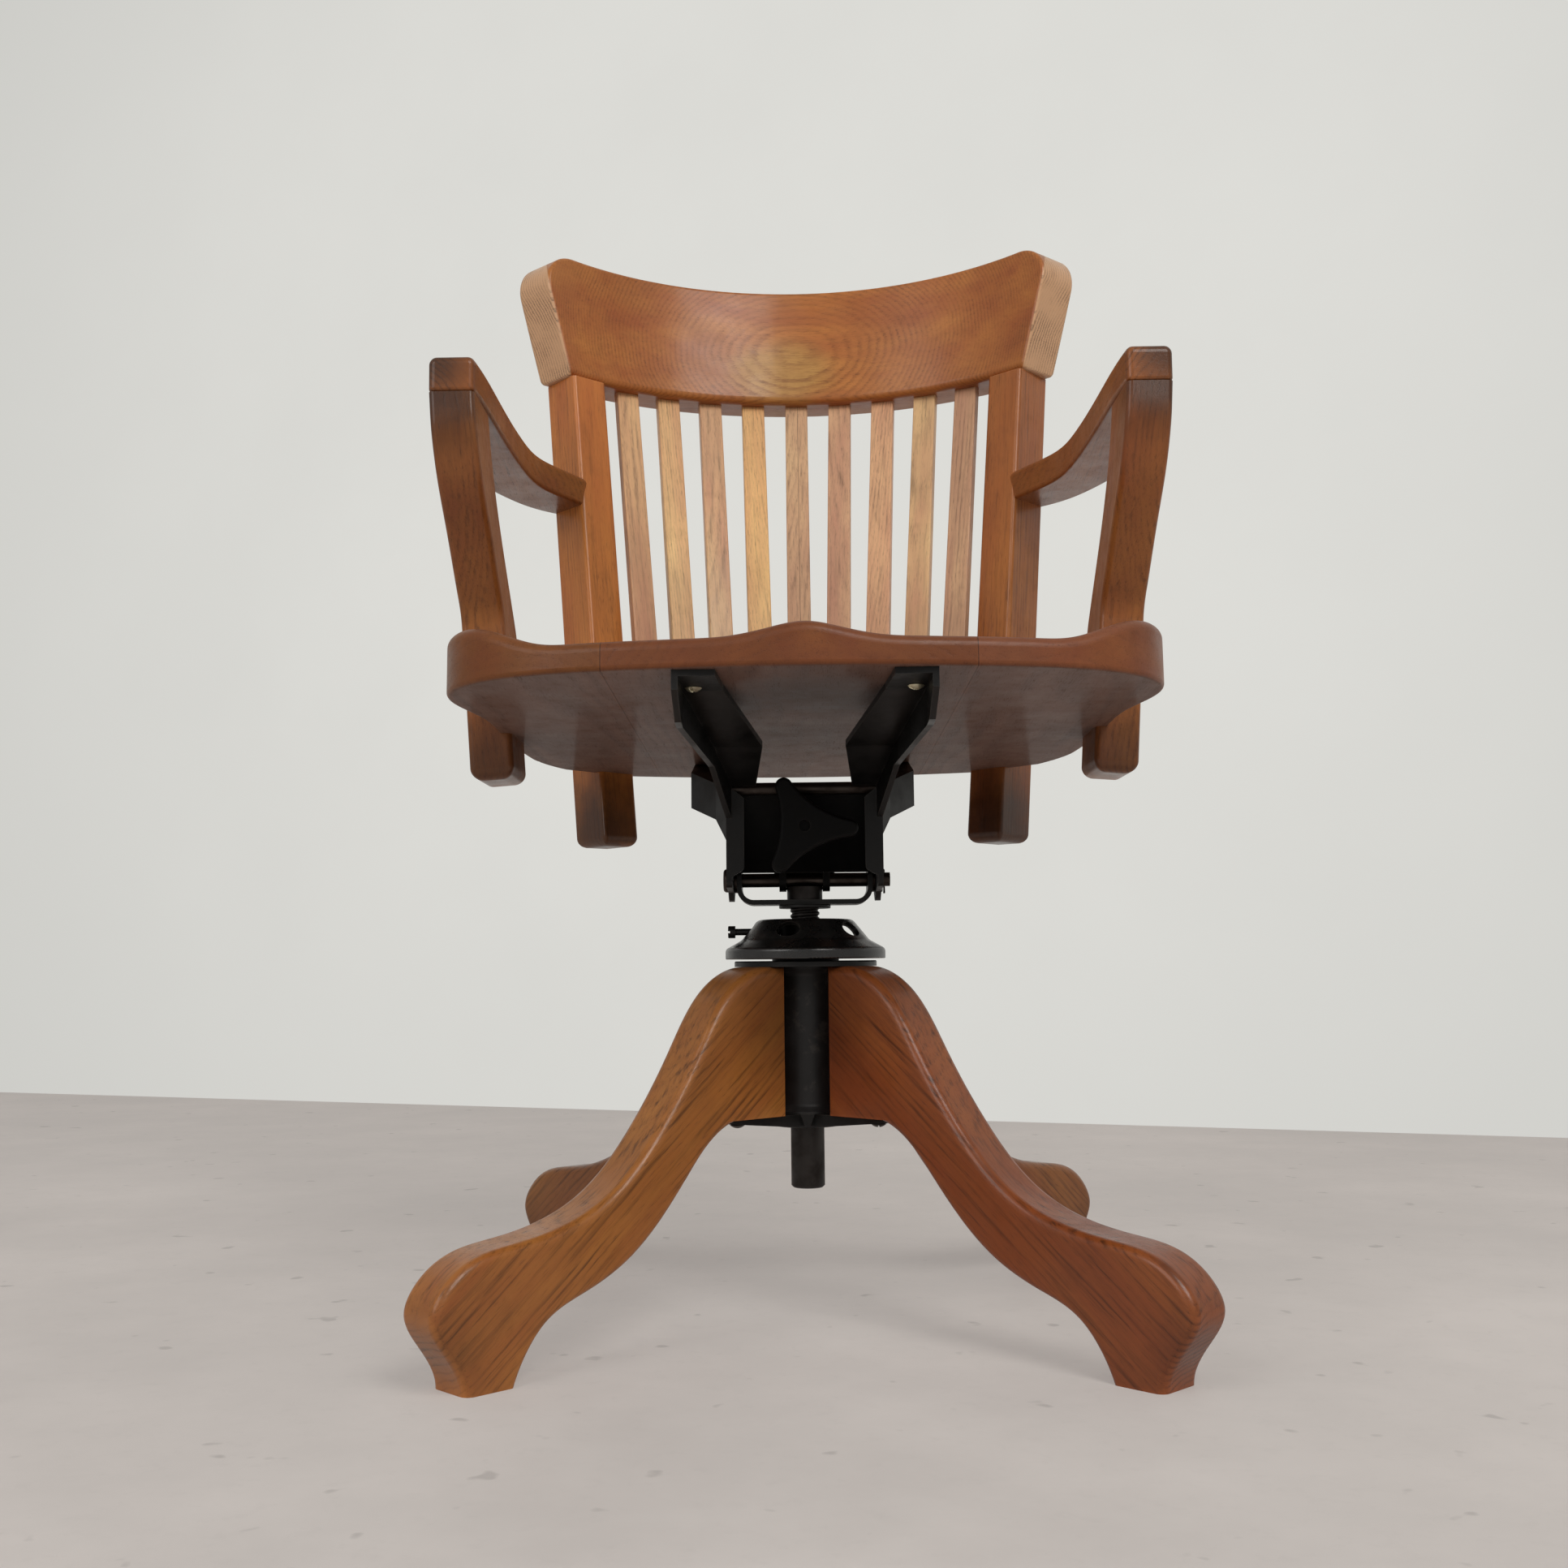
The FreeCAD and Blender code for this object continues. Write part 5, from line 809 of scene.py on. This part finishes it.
class CHAIR_OT_fittings(bpy.types.Operator):
    """Makes the slotted screw heads and the split pin"""
    bl_idname = "chair.fittings"
    bl_label = "Screws and Split Pin"

    def execute(self, context):
        bright = bpy.data.materials["bright_steel"]
        dark = bpy.data.materials["rod_steel"]
        heads = []
        for number, (x, y) in enumerate(BRACKET_SCREWS_AT):
            for side in (-1, 1):
                z = SEAT_FOOT_Z - SEAT_FALL * y - 4.3
                heads.append(slotted_head(at(side * x, y, z), (0, 0, -1), 5.4 * MM, 2.6 * MM,
                                          0.7 * number + 0.5 * side))
        verts, faces = gather(heads)
        solid("bracket_screw_heads", verts, faces, bright, "seat_body")
        heads = []
        for azimuth in LEGS.values():
            angle = radians(azimuth)
            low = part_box("cross_screws")[0].z
            place = at(CROSS_SCREWS_AT * cos(angle), CROSS_SCREWS_AT * sin(angle), 0)
            heads.append(slotted_head(place + Vector((0, 0, low)), (0, 0, -1), 5.2 * MM, 2.2 * MM,
                                      angle))
        verts, faces = gather(heads)
        solid("cross_screw_heads", verts, faces, dark, "base")
        low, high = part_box("pivot_cotter")
        middle = (low + high) * 0.5
        pin = []
        for leg in (-1.0, 1.0):
            path = []
            for k in range(15):
                share = k / 14.0
                bend = max(0.0, (share - PIN_BEND_FROM) / (1.0 - PIN_BEND_FROM))
                spread = PIN_SPREAD * bend ** 1.5
                path.append(Vector((middle.x, middle.y + leg * (PIN_LEG_OFF + spread),
                                    high.z - 3.0 * MM - share * (high.z - low.z - 3.0 * MM))))
            pin.append(tube(path, PIN_WIRE_R))
        loop = []
        for k in range(19):
            angle = pi * (-0.38 + 1.76 * k / 18.0)
            loop.append(Vector((middle.x, middle.y + 1.75 * MM * cos(angle),
                                high.z - 1.9 * MM + 1.6 * MM * sin(angle))))
        pin.append(tube(loop, PIN_WIRE_R))
        verts, faces = gather(pin)
        split_pin = solid("split_pin", verts, faces, dark, "spindle_body")
        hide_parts("pivot_cotter")
        return {"FINISHED"}


# Stage

class CHAIR_OT_stage(bpy.types.Operator):
    """Sets the floor, wall, lights and camera"""
    bl_idname = "chair.stage"
    bl_label = "Stage"

    def execute(self, context):
        settings = context.scene.stage_settings
        floor_shade = Shade("screed_floor")
        spots = floor_shade.noise(floor_shade.place, 3.0, 6.0, 0.65)
        grit = floor_shade.noise(floor_shade.place, 60.0, 4.0, 0.7)
        pits = floor_shade.noise(floor_shade.place, 34.0, 2.0, 0.5)
        color = tuple(settings.floor_color)
        surface = floor_shade.blend(floor_shade.span(spots, 0.35, 0.68), tone(color, 0.93),
                                    tone(color, 1.06))
        surface = floor_shade.blend(floor_shade.span(grit, 0.55, 0.8, 0.0, 0.18), surface,
                                    tone(color, 0.7))
        surface = floor_shade.blend(floor_shade.span(pits, 0.69, 0.74, 0.0, 0.35), surface,
                                    tone(color, 0.42))
        floor_shade.relief(grit, 0.4 * MM, 0.3)
        floor_material = floor_shade.finish(surface, floor_shade.span(spots, 0.3, 0.7, 0.5, 0.75))
        floor_shade.show_plain(floor_shade.vector("MULTIPLY", surface, (0.76, 0.755, 0.77)), 0.45)
        wall_shade = Shade("painted_wall")
        wash = wall_shade.noise(wall_shade.place, 1.2, 5.0, 0.6)
        wall_tone = wall_shade.blend(wall_shade.span(wash, 0.35, 0.7), tone(settings.wall_color, 0.975),
                                 tone(settings.wall_color, 1.02))
        # painted light: the wall is brightest around WALL_BRIGHT_AT and falls darker away from it
        away = wall_shade.vector("DISTANCE", wall_shade.place, WALL_BRIGHT_AT)
        wall_tone = wall_shade.blend(wall_shade.span(away, 0.5, 2.7, 0.0, 1.0, True), wall_tone,
                                 tone(settings.wall_color, 0.83))
        wall_material = wall_shade.finish(wall_tone, 0.8)
        wall_shade.show_plain(wall_tone)
        left, right = [Vector((x, y, 0.0)) for x, y in WALL_FOOT]
        run = (right - left).normalized()
        back = Vector((-run.y, run.x, 0.0))
        far, near = back * FLOOR_REACH, back * SKIRT
        floor = self.plate("floor", [left - far, right - far, right - near, left - near],
                           floor_material)
        top = Vector((0.0, 0.0, WALL_HEIGHT))
        wall = self.plate("wall", [left, right, right + top, left + top], wall_material)
        skirt = self.plate("floor_edge", [left - near, right - near, right, left], floor_material)
        for lamp in LAMPS:
            self.light(*lamp)
        world = bpy.data.worlds.new("room")
        context.scene.world = world
        world.use_nodes = True
        background = world.node_tree.nodes["Background"]
        background.inputs["Color"].default_value = ROOM_COLOR
        background.inputs["Strength"].default_value = settings.sky_strength
        self.camera(context)
        context.scene.view_settings.view_transform = "Standard"
        return {"FINISHED"}

    @staticmethod
    def plate(name, corners, material):
        mesh = bpy.data.meshes.new(name)
        mesh.from_pydata([tuple(c) for c in corners], [], [(0, 1, 2, 3)])
        mesh.materials.append(material)
        piece = bpy.data.objects.new(name, mesh)
        bpy.context.scene.collection.objects.link(piece)
        return piece

    @staticmethod
    def light(name, place, size, power, color):
        lamp = bpy.data.lights.new(name, "AREA")
        lamp.shape = "DISK"
        lamp.size = size
        lamp.energy = power
        lamp.color = color
        holder = bpy.data.objects.new(name, lamp)
        holder.location = place
        aim = Vector(LAMP_TARGET) - Vector(place)
        holder.rotation_euler = aim.to_track_quat("-Z", "Y").to_euler()
        bpy.context.scene.collection.objects.link(holder)

    @staticmethod
    def camera(context):
        yaw, pitch, roll = radians(YAW), radians(PITCH), radians(ROLL)
        forward = Vector((sin(yaw) * cos(pitch), cos(yaw) * cos(pitch), sin(pitch)))
        right = Vector((cos(yaw), -sin(yaw), 0.0))
        up = right.cross(forward)
        turned_right = right * cos(roll) + up * sin(roll)
        turned_up = up * cos(roll) - right * sin(roll)
        lens = bpy.data.cameras.new("camera")
        lens.sensor_width = SENSOR_WIDTH
        lens.lens = SENSOR_WIDTH * FOCAL_LENGTH / VIEW_WIDTH
        lens.shift_x = (VIEW_WIDTH / 2.0 - VIEW_MIDDLE) / VIEW_WIDTH
        eye = bpy.data.objects.new("camera", lens)
        turn = Matrix((turned_right, turned_up, -forward)).transposed().to_4x4()
        eye.matrix_world = Matrix.Translation(at(*EYE)) @ turn
        context.scene.collection.objects.link(eye)
        context.scene.camera = eye


OPERATORS = (CHAIR_OT_legs, CHAIR_OT_seat, CHAIR_OT_arms, CHAIR_OT_back, CHAIR_OT_iron,
             CHAIR_OT_spindle, CHAIR_OT_spring, CHAIR_OT_fittings, CHAIR_OT_stage)


class CHAIR_PT_panel(bpy.types.Panel):
    """Lists the chair's settings and steps"""
    bl_idname = "CHAIR_PT_panel"
    bl_label = "Bankers Swivel Chair"
    bl_space_type = "VIEW_3D"
    bl_region_type = "UI"
    bl_category = "Chair"

    def draw(self, context):
        column = self.layout.column()
        for settings in (context.scene.chair_settings, context.scene.stage_settings):
            for key in settings.__annotations__:
                column.prop(settings, key)
        for operator in OPERATORS:
            column.operator(operator.bl_idname)


CLASSES = (ChairSettings, StageSettings, *OPERATORS, CHAIR_PT_panel)


def register():
    for item in CLASSES:
        bpy.utils.register_class(item)
    bpy.types.Scene.chair_settings = PointerProperty(type=ChairSettings)
    bpy.types.Scene.stage_settings = PointerProperty(type=StageSettings)


def unregister():
    del bpy.types.Scene.stage_settings
    del bpy.types.Scene.chair_settings
    for item in reversed(CLASSES):
        bpy.utils.unregister_class(item)


def main():
    """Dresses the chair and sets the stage."""
    register()
    for operator in OPERATORS:
        group, step = operator.bl_idname.split(".")
        getattr(getattr(bpy.ops, group), step)()


if __name__ == "__main__":
    main()
